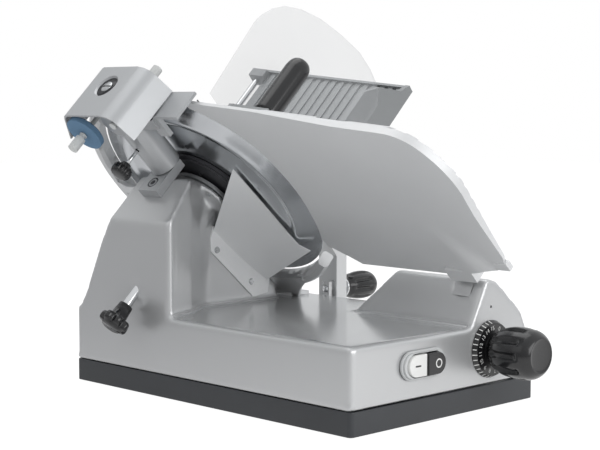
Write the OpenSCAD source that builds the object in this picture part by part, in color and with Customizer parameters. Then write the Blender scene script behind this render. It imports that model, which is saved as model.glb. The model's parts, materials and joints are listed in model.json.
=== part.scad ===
// Gravity feed slicer for meat: a tilted round blade, a sliding carriage and a turning thickness dial.
// Row frame: origin under the centre of the base, X to the user's right, Y away from the user, Z up.
// Blade frame: x is the row's Y, y (called u) runs up the blade's plane, z (called w) is the blade's
// axis towards the carriage. The blade's cutting plane is w = 0 and the slices leave on the -w side.

/* [Base] */
// Width of the base, left to right
base_w = 325; // [300:1:360]
// Length of the base, front to back
base_l = 495; // [470:1:540]
// Height of the dark plinth band above the standing plane
plinth_h = 30; // [24:1:36]
// Height of the flat deck above the standing plane
deck_z = 101; // [96:1:108]
// Radius of the base's upright corners
base_r = 6; // [6:1:20]
// Wall of the cast housing
wall = 5; // [4:0.5:7]
// Height of the raised block on the right
block_h = 155; // [148:1:162]
// Left end of the raised block's sloping face, at the deck
block_x = 42; // [36:1:50]
// Back end of the raised block, at the deck
block_back = -56; // [-70:1:-45]
// How far the rubber feet stand below the plinth
foot_h = 2; // [1.5:0.5:4]

/* [Tower] */
// Front edge of the tower at the left wall
tower_front = 57; // [50:1:64]
// The tower's flat front face, which carries the slice deflector
tower_face = 108; // [100:1:114]
// Width of the neck behind the blade, from the blade's axis to its back edge
neck_back = 52; // [50:1:60]
// Height of the neck's top face above the blade's axis
neck_u = 64; // [60:1:70]
// The neck's end face behind the blade
neck_w = -26; // [-28:0.5:-25]

/* [Blade] */
// Radius of the blade
blade_r = 165; // [155:1:168]
// Lean of the blade's plane from upright
lean = 45; // [44:0.5:46]
// Blade centre, from the base's centre to the left
blade_x = -32; // [-36:1:-28]
// Blade centre, from the base's centre to the back
blade_y = 124; // [118:1:130]
// Height of the blade's centre
blade_z = 257; // [252:1:264]
// Thickness of the blade's middle
blade_t = 4; // [3:0.5:5]
// Depth of the dish in the blade's front side
dish = 7; // [6:0.5:8]
// Radius of the hub's flange behind the blade
hub_r = 71; // [64:1:74]
// Radius of the blade's hollow shaft
shaft_r = 12; // [11:0.5:14]
// Radius of the tie rod through the shaft
tie_r = 6; // [5:0.5:6.5]

/* [Guards] */
// Gap from the blade's edge to the ring guard and the gauge plate
edge_gap = 3; // [2.5:0.5:5]
// Width of the ring guard, outwards from the blade
ring_b = 15; // [12:1:18]
// Depth of the ring guard along the blade's axis
ring_h = 21; // [18:1:23]
// Sheet of the slice deflector
sheet_t = 2; // [1.5:0.5:2.5]

/* [Gauge plate] */
// Thickness of the gauge plate without its ribs
plate_t = 10; // [8:0.5:11]
// Height of the ribs on the gauge plate's front
rib_h = 2; // [1:0.5:3]
// Distance from one rib to the next
rib_pitch = 17; // [14:1:22]
// Thickest slice
slice_max = 15; // [10:1:16]
// Radius of the graduated dial
dial_r = 34.5; // [32:0.5:36]
// Radius of the fluted dial knob
knob_r = 31; // [28:0.5:32]
// Length of the fluted dial knob
knob_l = 70; // [60:1:75]

/* [Carriage] */
// Travel of the carriage
stroke = 280; // [240:5:285]
// Width of the product table
table_b = 263; // [240:1:270]
// Length of the product table along the slope
table_l = 292; // [280:1:300]
// Tilt of the table towards the user's side wall
table_tilt = 8; // [7:0.5:9]
// Height of the table's side wall above the table
side_h = 72; // [60:1:80]
// Radius of the carriage's rail
rail_r = 11; // [10:0.5:12]
// Radius of the pusher's guide rod
rod_r = 4.5; // [4:0.5:5]
// Length of the carriage's grip
grip_l = 90; // [84:1:104]
// Radius of the carriage's grip
grip_r = 15.5; // [14:0.5:17]

/* [Sharpener] */
// Outer radius of the sharpener's column
column_r = 20; // [18:0.5:21]
// Height of the sharpener cover's top above the blade's axis
cover_u = 209; // [207:1:214]
// Length of the sharpener's cover along the blade's axis
cover_l = 84; // [80:1:88]
// Radius of the outer grinding stone
stone_r = 25; // [22:0.5:26]

/* [Hidden] */
$fn = 64;
run = 0.05;          // running clearance on a radius
gap = 0.3;           // clear gap between pieces that only face each other
eps = 0.01;
plinth_z = foot_h;
ratio_dial = 330;    // turn of the dial, in degrees, for the whole slice range
soft_fn = 32;        // facets of a round inside a hull

// Places worked out from the sizes above
half_w = base_w / 2;
half_l = base_l / 2;
plate_x = half_w - 15;                   // places of the screws of the bottom plate
plate_y = half_l - 15;
hub_w = -dish - blade_t;                 // back of the blade's middle
hub_t = 7;
drum_w = hub_w - hub_t;                  // back of the hub's flange
pulley_w = -110;
pulley_t = 14;
pulley_r = 30;
motor_y = half_l - blade_y - 88.5;
motor_u = -110;
motor_r = 40;
motor_pr = 15;
seat_w = neck_w - wall - 1;                // inside of the end wall, where the motor is bolted
tie_out_w = (17.4 - half_w - blade_x) / cos(lean);   // seat of the tie rod in the left wall
knob_w = tie_out_w - 73;
tower_z = blade_z + neck_u / cos(lean) - (blade_x + half_w) * tan(lean);   // the left wall ends at the roof
roof_w = -47;                            // upper end of the tower's roof
collar_w = -33;                          // back of the round collar behind the blade
collar_r = 46.5;
boss_w = -84;                            // back end of the boss round the bearing housing
dial_x = 77;
dial_z = 72.5;
dial_t = 6;
switch_x = -47;
switch_z = 70;
switch_b = 74;
switch_h = 33;
button_r = 12.5;
press = 3;
ring_in = blade_r + edge_gap;
ring_out = ring_in + ring_b;
ring_w = 3 - ring_h;
table_s0 = -95;                          // outer face of the side wall
table_s1 = table_s0 + table_b;
table_v = -110;
table_w0 = 8;
table_w1 = table_w0 + table_l;
table_t = 6;
side_t = 7;
rod_s = table_s1 + 12;
rod_w1 = table_w1 - 6;
grip_s = table_s0 - 45;
grip_v = 124;
grip_w = 27;
rail_x = 126;
rail_z = 56;
slider_y0 = 78;
slider_l = 88;
foot_x = half_w + 4;
pivot_x = foot_x + 20;
pivot_z = 72;
pivot_r = 6;
arm_x = foot_x + 10;
arm_y = 104.5;
lock_y = 114;
lock_z = 104;
post_w = -35;
post_r = 11;
clamp_u = neck_u + gap / 3;
clamp_h = 12;
stone_y = 28;
stone_u = 179;
inner_y = -25;
inner_u = 184;
inner_r = 19;
push_r = 3;

module in_blade() translate([blade_x, blade_y, blade_z]) rotate([0, 90 - lean, 0]) rotate([0, 0, 90]) children();
module in_table() in_blade() rotate([0, 0, table_tilt]) children();
module along_y(y0, y1) translate([0, y1, 0]) rotate([90, 0, 0]) linear_extrude(y1 - y0) children();
module along_x(x0, x1) translate([x0, 0, 0]) rotate([90, 0, 90]) linear_extrude(x1 - x0) children();
module slab(z0, z1) translate([0, 0, z0]) linear_extrude(z1 - z0) children();
module ring(r, bore, h) difference() {
    cylinder(r = r, h = h);
    translate([0, 0, -1]) cylinder(r = bore, h = h + 2);
}
module round_rect(w, l, r) {
    square([w - 2 * r, l], center = true);
    square([w, l - 2 * r], center = true);
    for (x = [-1, 1], y = [-1, 1]) translate([x * (w / 2 - r), y * (l / 2 - r)]) circle(r);
}
module pill(w, h) {
    square([w - h, h], center = true);
    for (x = [-1, 1]) translate([x * (w - h) / 2, 0]) circle(h / 2);
}
// A socket head screw along z: the head's top is at z = 0 and the thread goes down
module socket_screw(r, len, head_r, head_h) difference() {
    union() {
        translate([0, 0, -head_h]) cylinder(r = head_r, h = head_h);
        translate([0, 0, -len]) cylinder(r = r, h = len);
    }
    translate([0, 0, -head_h * 0.6]) cylinder(r = r * 0.85, h = head_h, $fn = 6);
}
// A slotted pan head screw along z, head up from z = 0
module pan_screw(r, len, head_r, head_h) difference() {
    union() {
        cylinder(r1 = head_r, r2 = head_r * 0.7, h = head_h);
        translate([0, 0, -len]) cylinder(r = r, h = len + eps);
    }
    translate([-head_r, -0.5, head_h * 0.5]) cube([2 * head_r, 1, head_h]);
}

// Housing: each form is drawn once, with t as the inset that makes the hollow inside
module housing_block(t) intersection() {
    along_y(-half_l + t, block_back) polygon([
        [block_x + 1.15 * t, plinth_h - 1], [block_x + 1.15 * t, deck_z - t],
        [block_x + 28 + 1.15 * t, block_h + 1 - t], [block_x + 40, block_h - t],
        [block_x + 50, block_h - 4 - 1.15 * t], [half_w - 25.5 - t, 113 - t / 2],
        [half_w - 14.5 - t, 92 - t / 2], [half_w - t, plinth_h - 1]]);
    slab(plinth_h - 1, block_h + 2) round_rect(base_w - 2 * t, base_l - 2 * t, base_r - t / 2);
    along_x(-half_w, half_w) polygon([
        [-half_l - 1, plinth_h - 1], [block_back - t, plinth_h - 1], [block_back - t, deck_z - t],
        [block_back - 50 - t, block_h + 3 - t], [-half_l - 1, block_h + 3 - t]]);
}
module housing_slab(t) intersection() {
    slab(plinth_h - 1, deck_z - t) round_rect(base_w - 2 * t, base_l - 2 * t, base_r - t / 2);
    along_y(-half_l, half_l) polygon([
        [-half_w - 1, plinth_h - 2], [-half_w - 1, deck_z + 1], [half_w - 27 - t, deck_z + 1],
        [half_w - 26 - t, deck_z - t], [half_w - 19.5 - t, 98.5 - t], [half_w - 14.5 - t, 92 - t / 2],
        [half_w - t, plinth_h - 1], [half_w - t, plinth_h - 2]]);
}
module housing_tower(t) intersection() {
    along_y(tower_front + t, half_l - t) polygon([
        [-half_w + t, plinth_h - 1], [-half_w + t, tower_z - t / 2],
        wp(neck_u - t, roof_w - t / 3), wp(48 - t / 2, collar_w - t), wp(14, collar_w - t),
        wp(6 - t, neck_w - 1 - t), wp(-165, neck_w - 1 - t),
        [wp(-165, neck_w)[0] + 4 - t, deck_z - 1], [wp(-165, neck_w)[0] + 4 - t, plinth_h - 1]]);
    along_x(-half_w + t, half_w) polygon([
        [0, plinth_h - 1], [half_l - t, plinth_h - 1], [half_l - 7 - t, 100], [half_l - 21 - t, 121],
        [half_l - 52 - t, 185], [half_l - 72 - t, tower_z + 2], [half_l - 72 - t, 300], [0, 300]]);
    slab(plinth_h - 1, 300) polygon([
        [-half_w + t, tower_front + 4 + t], [-half_w + 4 + t, tower_front + t],
        [-half_w + 12 + t, tower_front + 3 + t], [-half_w + 52, tower_front + 19 + t],
        [-half_w + 84, tower_face - 11 + t], [-half_w + 96, tower_face - 4 + t],
        [-half_w + 107, tower_face + t], [half_w, tower_face + t],
        [half_w, half_l - base_r - t], [half_w - base_r, half_l - t], [-half_w + base_r, half_l - t],
        [-half_w + t, half_l - base_r]]);
}
// Back of the neck, which carries the ring guard, and the round collar in front of it
module housing_neck(t) in_blade() translate([0, 0, -110]) linear_extrude(neck_w - t + 110) polygon([
    [t, -100], [neck_back - t, -100], [neck_back - t, 42], [neck_back - 8 - t / 2, 50 - t], [t, 50 - t]]);
module collar() in_blade() translate([0, 0, collar_w - 0.4]) cylinder(r = collar_r, h = neck_w - collar_w + 0.3);
module housing_form(t) {
    housing_slab(t);
    housing_block(t);
    housing_tower(t);
    housing_neck(t);
}
function wp(u, w) = [blade_x - u * sin(lean) + w * cos(lean), blade_z + u * cos(lean) + w * sin(lean)];

module base_housing() color("silver") difference() {
    union() {
        difference() {
            housing_form(0);
            housing_form(wall);
        }
        // Bosses inside: rail ends, tie rod seat and plate screws
        for (y = [-half_l + wall - eps, half_l - wall - 16])
            translate([rail_x, y, rail_z]) rotate([-90, 0, 0]) cylinder(r = rail_r + 6, h = 16 + eps);
        for (x = [-1, 1], y = [-1, 1])
            translate([x * plate_x, y * plate_y, plinth_h - 1]) cylinder(r = 11, h = 16);
        collar();
        // Boss round the bearing housing, through the tower's front wall
        in_blade() translate([0, 0, boss_w]) cylinder(r = bearing_r + 6.5, h = collar_w - boss_w);
        in_blade() for (y = guide_ys) translate([y, guide_u, -5]) cylinder(r = 12, h = guide_end + 5);
        translate([dial_x, -half_l + wall + 6, dial_z]) rotate([90, 0, 0]) cylinder(r = 11, h = 7);
        in_blade() translate([0, 0, tie_out_w - 6]) cylinder(r = 16, h = 16);
    }
    translate([-base_w, -base_l, plinth_h - 10]) cube([2 * base_w, 2 * base_l, 10]);
    in_blade() translate([0, neck_u - wall - 2, -66]) rotate([-90, 0, 0]) cylinder(r = 4.2, h = wall + 4);
    for (p = flange_holes) translate([p[0], tower_face - 1, p[1]]) rotate([-90, 0, 0])
        cylinder(r = 2.6, h = wall + 3);
    // Seat of the bearing housing and of its screws
    in_blade() translate([0, 0, boss_w - 4]) cylinder(r = bearing_r + 3.1, h = neck_w - boss_w + 5);
    in_blade() for (p = neck_bolts) rotate([0, 0, p[1]]) translate([p[0], 0, seat_w - 4])
        cylinder(r = 2.2, h = wall + 6);
    in_blade() for (p = motor_bolts) translate([p[0], p[1], seat_w - 2]) cylinder(r = 2.6, h = wall + 4);
    // Tie rod outlet and its pocket
    in_blade() translate([0, 0, tie_out_w - 30]) cylinder(r = tie_r + run, h = 80);
    in_blade() translate([0, 0, tie_out_w - 60]) cylinder(r = 14, h = 60);
    translate([foot_place[0], foot_place[1], deck_z - wall - 2]) cylinder(r = 2.3, h = wall + 4);
    // Rail and screw sockets
    for (y = [-half_l + wall, half_l - wall - 17])
        translate([rail_x, y, rail_z]) rotate([-90, 0, 0]) cylinder(r = rail_r + run, h = 17);
    for (x = [-1, 1], y = [-1, 1])
        translate([x * plate_x, y * plate_y, plinth_h - 2]) cylinder(r = 2.6, h = 20);
    // Slot for the carriage in the right wall
    translate([half_w - 30, slider_y0 - stroke - 7, 38]) cube([40, stroke + slider_l + 14, 36]);
    // Dial shaft, switch and cable outlet
    translate([dial_x, -half_l + wall + 7, dial_z]) rotate([90, 0, 0]) cylinder(r = 6 + run, h = wall + 8);
    in_blade() for (y = guide_ys) translate([y, guide_u, -6]) cylinder(r = 6.02, h = guide_end + 6);
    translate([switch_x, -half_l + wall + 1, switch_z]) rotate([90, 0, 0])
        linear_extrude(wall + 2) pill(switch_b - 8, switch_h - 8);
    translate([-90, half_l - wall - 1, 62]) rotate([-90, 0, 0]) cylinder(r = 8.2, h = wall + 2);
    // Notch for the gauge plate's arm in the top edge of the block's slope
    gauge_slot();
}
motor_bolts = [for (a = [20:90:290]) [motor_y + 33 * cos(a), motor_u + 33 * sin(a)]];

module plinth() color("#2c2e31") difference() {
    slab(plinth_z, plinth_h - 0.1) round_rect(base_w, base_l, base_r);
    slab(plinth_z - 1, plinth_h + 1) round_rect(base_w - 14, base_l - 14, base_r - 4);
    slab(plinth_z - 1, plinth_z + 4.1) round_rect(base_w - 8, base_l - 8, base_r - 2);
}
module plate_hole_places() for (x = [-1, 1], y = [-1, 1])
    translate([x * plate_x, y * plate_y, 0]) children();
module bottom_plate() color("#8e9194") difference() {
    union() {
        slab(plinth_z + 2, plinth_z + 4) round_rect(base_w - 9, base_l - 9, base_r - 3);
        plate_hole_places() translate([0, 0, plinth_z + 3]) cylinder(r = 7, h = plinth_h - plinth_z - 3.1);
    }
    plate_hole_places() translate([0, 0, -1]) cylinder(r = 2.6, h = plinth_h + 4);
    for (i = [-4:4]) translate([-60, i * 14, 0]) cylinder(r = 2.5, h = 20);
}
module plate_screws() color("#b9bcbf") plate_hole_places() translate([0, 0, plinth_z + 1.9]) mirror([0, 0, 1])
    pan_screw(2.4, plinth_h + 6, 5, 1.6);
// Four feet near the corners and a fifth under the middle of the floor plate
module rubber_feet() color("#1d1d1e") for (p = [[0, 0], [-1, -1], [-1, 1], [1, -1], [1, 1]])
    translate([p[0] * (half_w - 42), p[1] * (half_l - 42), 0]) cylinder(r1 = 14, r2 = 16, h = plinth_z + 1.9);
module cable_gland() color("#222426") translate([-90, half_l, 62]) rotate([-90, 0, 0]) difference() {
    union() {
        translate([0, 0, gap / 3]) cylinder(r = 12, h = 5, $fn = 6);
        translate([0, 0, 5]) cylinder(r1 = 10.5, r2 = 8, h = 11);
        translate([0, 0, -wall - 6]) cylinder(r = 7.9, h = wall + 7);
        translate([0, 0, -wall - 6]) cylinder(r = 11, h = 5.9);
    }
    translate([0, 0, -wall - 7]) cylinder(r = 4, h = 40);
}
module control_box() color("#3a3d40") difference() {
    translate([switch_x - 42, -half_l + wall + 0.1, plinth_h + 0.4]) cube([84, 60, 62]);
    translate([switch_x - 40, -half_l + wall - 1, plinth_h + 2.4]) cube([80, 59, 58]);
}

// Drive: motor, belt and the blade's hollow shaft
module motor() color("#53585c") in_blade() translate([motor_y, motor_u, 0]) {
    difference() {
        union() {
            translate([0, 0, -96]) cylinder(r = motor_r - 3, h = 58);
            translate([0, 0, -92]) cylinder(r = motor_r, h = 12);
            translate([0, 0, seat_w - 12]) cylinder(r = motor_r, h = 8.5);
            for (a = [0:15:345]) rotate([0, 0, a]) translate([motor_r - 4, -1, -82]) cube([3.5, 2, 42]);
            translate([0, 0, pulley_w - 8]) cylinder(r = 6, h = 24);
        }
        for (a = [20:90:290]) rotate([0, 0, a]) translate([33, 0, seat_w - 20]) cylinder(r = 2.4, h = 30);
    }
}
module motor_plate() color("#9a9da0") in_blade() difference() {
    translate([motor_y, motor_u, seat_w - 3.4]) cylinder(r = motor_r - 1, h = 3.3);
    for (p = motor_bolts) translate([p[0], p[1], seat_w - 5]) cylinder(r = 2.6, h = 8);
    translate([motor_y, motor_u, seat_w - 5]) cylinder(r = 16, h = 8);
}
module motor_screws() color("#b9bcbf") in_blade() for (p = motor_bolts)
    translate([p[0], p[1], neck_w + 0.1]) pan_screw(2.3, wall + 14, 4.5, 2.6);
module motor_pulley() color("#a9acaf") in_blade() translate([motor_y, motor_u, pulley_w - pulley_t / 2])
    pulley(motor_pr, 6 + run);
module pulley(r, bore) difference() {
    union() {
        cylinder(r = r, h = pulley_t);
        cylinder(r = r + 2.3, h = 2);
        translate([0, 0, pulley_t - 2]) cylinder(r = r + 2.3, h = 2);
    }
    translate([0, 0, -1]) cylinder(r = bore, h = pulley_t + 2);
}
module belt_loop(r_add) hull() {
    circle(pulley_r + gap + r_add);
    translate([motor_y, motor_u]) circle(motor_pr + gap + r_add);
}
module drive_belt() color("#161617") in_blade() translate([0, 0, pulley_w - 4.5]) linear_extrude(9) difference() {
    belt_loop(1.8);
    belt_loop(0);
}
module bearing_housing() color("#c4c6c8") in_blade() difference() {
    union() {
        translate([0, 0, neck_w + 0.1]) cylinder(r = collar_r - 0.3, h = 4.4);
        translate([0, 0, pulley_w + pulley_t / 2 + 3])
            cylinder(r = bearing_r + 3, h = neck_w - pulley_w - pulley_t / 2);
    }
    translate([0, 0, pulley_w]) cylinder(r = shaft_r + 3, h = 200);
    for (w0 = bearing_places) translate([0, 0, w0]) cylinder(r = bearing_r, h = bearing_t + gap);
    translate([0, 0, bearing_places[1]]) cylinder(r = bearing_r, h = 60);
    for (i = [0:3]) rotate([0, 0, neck_bolts[i][1]]) translate([40, 0, neck_w - 1]) cylinder(r = 2.4, h = 9);
}
bearing_places = [pulley_w + pulley_t / 2 + 6, neck_w - 8];
bearing_r = 19;
bearing_t = 12;
module shaft_bearings() color("#d4d6d8") in_blade() for (w0 = bearing_places) translate([0, 0, w0 + 0.1]) {
    ring(bearing_r - 0.02, bearing_r - 2, bearing_t);
    ring(shaft_r + 2, shaft_r + run, bearing_t);
    for (i = [0:11]) rotate([0, 0, i * 30]) translate([(shaft_r + bearing_r) / 2, 0, bearing_t / 2])
        sphere(r = (bearing_r - shaft_r) / 2 - 1.4, $fn = 24);
    translate([0, 0, bearing_t / 2 - 0.5]) ring(bearing_r - 2 + eps, shaft_r + 2 - eps, 1);
}
module frame_screws() color("#b9bcbf") {
    in_blade() for (p = neck_bolts)
        rotate([0, 0, p[1]]) translate([p[0], 0, neck_w + 4.6]) pan_screw(2.1, wall + 8, 4.2, 1.4);
    translate([foot_place[0], foot_place[1], deck_z + 5.1]) pan_screw(2.1, wall + 8, 4.2, 1.4);
}
ring_bolts = [45, 285, 318];
neck_bolts = concat([[40, 10], [40, 80], [40, 150], [40, 300]], [for (a = ring_bolts) [56, a]]);
module blade_shaft() color("#d7d9db") in_blade() difference() {
    union() {
        translate([0, 0, pulley_w - pulley_t / 2 - 3])
            cylinder(r = shaft_r, h = drum_w - pulley_w + pulley_t / 2 + 3);
        translate([0, 0, drum_w - eps]) cylinder(r = shaft_r + 8, h = hub_w - drum_w + blade_t + 0.5);
    }
    translate([0, 0, pulley_w - 30]) cylinder(r = tie_r + 1, h = 160);
}
module blade_pulley() color("#a9acaf") in_blade() translate([0, 0, pulley_w - pulley_t / 2])
    pulley(pulley_r, shaft_r + 0.02);
module blade_hub() color("#2a2c2f") in_blade() difference() {
    union() {
        translate([0, 0, drum_w]) cylinder(r = hub_r - 3, h = 3);
        translate([0, 0, drum_w + 2.5]) cylinder(r = hub_r, h = hub_t - 2.6);
    }
    translate([0, 0, drum_w - 1]) cylinder(r = shaft_r + 8 + 0.02, h = hub_t + 2);
    for (a = [0:120:240]) rotate([0, 0, a]) translate([46, 0, drum_w - 1]) cylinder(r = 3.1, h = hub_t + 2);
}
// The blade: a dished disc with a wide bevel behind a keen edge
module blade() color("#cfd2d5") in_blade() difference() {
    rotate_extrude($fn = 180) polygon([
        [shaft_r + 8.05, hub_w], [blade_r - 37, hub_w], [blade_r - 27, hub_w + 3.6], [blade_r - 0.2, -0.5],
        [blade_r, -0.2], [blade_r, 0], [blade_r - 18, -1.2], [blade_r - 23, -dish], [shaft_r + 8.05, -dish]]);
    for (a = [0:120:240]) rotate([0, 0, a]) translate([46, 0, hub_w - 1]) cylinder(r = 3.2, h = blade_t + 2);
}
module blade_screws() color("#b9bcbf") in_blade() for (a = [0:120:240]) rotate([0, 0, a])
    translate([46, 0, -dish + 0.05]) pan_screw(3, blade_t + hub_t - 1, 5.5, 1.2);
// The knife cover fills the blade's dish and is drawn down by the tie rod
module knife_cover() color("#d2d4d6") in_blade()
    rotate_extrude($fn = 120) polygon([
        [tie_r - 1.5, -4.4], [60, -3.9], [blade_r - 29, -4.6], [blade_r - 27, -3.6], [blade_r - 30, -2.4],
        [60, -1.6], [tie_r + 8, -1.2], [tie_r - 1.5, -1.2]]);
module tie_rod() color("#e3e5e7") in_blade() {
    translate([0, 0, knob_w + 8]) cylinder(r = tie_r, h = -knob_w - 8 - 4.8);
    translate([0, 0, -4.9]) cylinder(r = tie_r - 1.6, h = 3.2);
}
module lobed(r, lobe, n) {
    circle(r - lobe * 0.8);
    for (i = [0:n - 1]) rotate(i * 360 / n) translate([r - lobe, 0]) circle(lobe);
}
module star_knob() color("#1b1c1d") in_blade() difference() {
    union() {
        translate([0, 0, knob_w - 4]) linear_extrude(12) lobed(20, 5.6, 7);
        translate([0, 0, knob_w - 6]) cylinder(r1 = 14, r2 = 16, h = 2.1);
        translate([0, 0, knob_w + 7.9]) cylinder(r1 = 11, r2 = 9, h = 20);
    }
    translate([0, 0, knob_w + 7.8]) cylinder(r = tie_r + 0.02, h = 30);
}

// Ring guard round the back of the blade, on a flange and two spokes behind the hub
ring_from = 226;
ring_to = 418;
module ring_sector(a0, a1) rotate([0, 0, a0]) rotate_extrude(angle = a1 - a0, $fn = 160) children();
module ring_guard() color("#b4b7ba") {
    ring_guard_ring();
    ring_foot();
}
module ring_guard_ring() in_blade() difference() {
    union() {
        ring_sector(ring_from, ring_to) polygon([
            [ring_in, ring_w + 5], [ring_in + 4, ring_w], [ring_out - 3, ring_w], [ring_out, ring_w + 3],
            [ring_out, 1], [ring_out - 3, 3], [ring_in + 3, 3], [ring_in, 0.5]]);
        translate([0, 0, neck_w + 0.1]) ring_sector(276, 418) translate([48, 0]) square([16, 4.4]);
        rotate([0, 0, spoke_a]) rotate([90, 0, 0]) translate([0, 0, -10]) linear_extrude(20) polygon([
            [57, neck_w + 0.3], [57, neck_w + 4.3], [140, neck_w + 4.3], [ring_in + 5, ring_w + 6],
            [ring_in + 9, ring_w + 0.8], [146, neck_w + 0.3]]);
    }
    for (a = ring_bolts) rotate([0, 0, a]) translate([56, 0, neck_w - 1]) cylinder(r = 2.2, h = 8);
}
spoke_a = 2;
foot_place = [112, 128, deck_z + 0.1];
module ring_foot() difference() {
    union() {
        in_blade() translate([0, 0, ring_w]) linear_extrude(7)
            polygon([[-60, -160], [-60, -171], [-40, -186], [-16, -212], [28, -216], [24, -180], [6, -166]]);
        translate([foot_place[0] - 18, foot_place[1] - 20, deck_z]) cube([34, 36, 5]);
    }
    translate([0, 0, deck_z + 0.1 - 40]) cube([300, 400, 40]);
    translate([foot_place[0], foot_place[1], deck_z - 1]) cylinder(r = 2.2, h = 30);
    translate([foot_place[0], foot_place[1], deck_z + 5]) cylinder(r = 5, h = 20);
}

// Slice deflector: a curved sheet from behind the blade to a flange on the tower's face
face_y = tower_face - blade_y - 0.1;
defl_near = [[-88, 49, -15], [-92, 12, -15], [-96, -30, -15], [-99, -70, -15], [-102, -93, -15], [-116, -103, -15]];
defl_far = [[face_y - 1.7, -30, -52], [face_y - 1.7, -55, -49.5], [face_y - 1.7, -83, -46.5],
    [face_y - 1.7, -110, -43], [face_y - 1.7, -134, -38.5], [face_y - 1.7, -147, -36]];
function sheet_n(i) = let (a = defl_near[min(i + 1, 5)] - defl_near[max(i - 1, 0)], b = defl_far[i] - defl_near[i],
    n = cross(a, b)) n / norm(n) * sheet_t;
module deflector_sheet() {
    n = len(defl_near);
    pts = concat(defl_near, defl_far, [for (i = [0:n - 1]) defl_near[i] + sheet_n(i)],
        [for (i = [0:n - 1]) defl_far[i] + sheet_n(i)]);
    strip = [for (i = [0:n - 2]) each [[i, i + 1, n + i + 1], [i, n + i + 1, n + i]]];
    back = [for (f = strip) [f[2] + 2 * n, f[1] + 2 * n, f[0] + 2 * n]];
    side_a = [for (i = [0:n - 2]) each [[i, 2 * n + i, 2 * n + i + 1], [i, 2 * n + i + 1, i + 1]]];
    side_b = [for (i = [0:n - 2]) each [[n + i, n + i + 1, 3 * n + i + 1], [n + i, 3 * n + i + 1, 3 * n + i]]];
    ends = [[0, n, 3 * n], [0, 3 * n, 2 * n], [n - 1, 3 * n - 1, 4 * n - 1], [n - 1, 4 * n - 1, 2 * n - 1]];
    polyhedron(points = pts, faces = concat(strip, back, side_a, side_b, ends));
}
flange_pts = [wp(-26, -48), wp(-150, -32), wp(-160, -47), wp(-144, -68), wp(-46, -74), wp(-33, -62)];
flange_holes = [wp(-52, -66), wp(-127, -56)];
module slice_deflector() color("#c9cbcd") difference() {
    union() {
        in_blade() deflector_sheet();
        along_y(tower_face - 0.1 - sheet_t, tower_face - 0.1) polygon(flange_pts);
    }
    for (p = flange_holes) translate([p[0], tower_face + 1, p[1]]) rotate([90, 0, 0])
        cylinder(r = 2.6, h = 6);
}
module deflector_screws() color("#b9bcbf") for (p = flange_holes)
    translate([p[0], tower_face - 0.15 - sheet_t, p[1]]) rotate([90, 0, 0]) pan_screw(2.4, sheet_t + wall + 2, 4.5, 2.2);

// Gauge plate and its slide
module gauge_outline() difference() {
    polygon([
        [-78, 158], [-384, 116], [-399, 109], [-411, 98], [-421, 83], [-434, 50], [-437, 30], [-434, 0],
        [-428, -90], [-421, -107], [-408, -114], [-388, -114], [-326, -130], [-186, -129], [-168, -114],
        [-150, -98]]);
    circle(ring_in, $fn = 160);
}
module gauge_plate() color("#aeb0b2") in_blade() difference() {
    union() {
        translate([0, 0, -rib_h - plate_t - 0.4]) linear_extrude(plate_t) gauge_outline();
        intersection() {
            translate([0, 0, -rib_h - 0.5]) linear_extrude(rib_h + 0.2) gauge_outline();
            for (i = [-7:9]) translate([-450, i * rib_pitch - 6, -rib_h - 1]) cube([400, rib_pitch * 0.6, rib_h + 1]);
        }
        translate([-428, -112, -8]) cube([18, 12, 7.5]);
        // Foot under the lower edge, for the arm
        translate([gauge_y0 - 30, -137, -11]) cube([58, 20, 10]);
        translate([gauge_y0 - 30, -137, -3]) cube([58, 6.5, 10]);
    }
}
// The arm hangs from the plate's foot, slides on two rods and follows the dial's spiral cam with a pin
cam_y = 11.5 - half_l;
cam_t = 10;
cam_r = 27;
cam_pin_r = 4;
gauge_y0 = cam_y + 14 - blade_y;         // front of the arm's sliding block
guide_u = -205;
guide_ys = [gauge_y0 + 28, gauge_y0 + 126];
guide_end = 13 + 0.45 * (half_w - 162.5);
block_w = -36;
arm_w = -3;                              // lower face of the arm's flat bar
cam_turn = ratio_dial;
function in_u(x, z) = (blade_x - x) * sin(lean) + (z - blade_z) * cos(lean);
function in_w(x, z) = (x - blade_x) * cos(lean) + (z - blade_z) * sin(lean);
module gauge_arm() color("#9a9da0") in_blade() difference() {
    union() {
        translate([gauge_y0 - 2.5, guide_u - 16, arm_w]) cube([15.5, -137.1 - guide_u + 16, 10]);
        translate([gauge_y0 - 2.5, guide_u - 15, block_w + 23]) cube([15.5, 30, arm_w - block_w - 22]);
        translate([gauge_y0, guide_u - 16, block_w]) cube([142, 32, 24]);
        translate([cam_y + cam_t / 2 - blade_y, in_u(dial_x, dial_z), in_w(dial_x, dial_z) + cam_r + cam_pin_r + gap])
            rotate([0, 90, 0]) cylinder(r = cam_pin_r, h = gauge_y0 - cam_y - cam_t / 2 + blade_y + 1);
    }
    for (y = guide_ys) translate([y, guide_u, -120]) cylinder(r = 6 + run, h = 200);
}
module gauge_guide_rods() color("#dcdee0") in_blade() for (y = guide_ys) difference() {
    translate([y, guide_u, -66]) cylinder(r = 6, h = 66 + guide_end - 0.1);
    translate([y, guide_u, -67]) cylinder(r = 1.5, h = 5);
}
module gauge_slot() in_blade() translate([gauge_y0 - 4.5, -186, arm_w - slice_max - 1]) cube([19.5, 60, 12 + slice_max]);
module flutes(n, r, cut, z0, h) for (i = [0:n - 1]) rotate([0, 0, i * 360 / n]) translate([r, 0, z0])
    cylinder(r = cut, h = h, $fn = 24);
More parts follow.
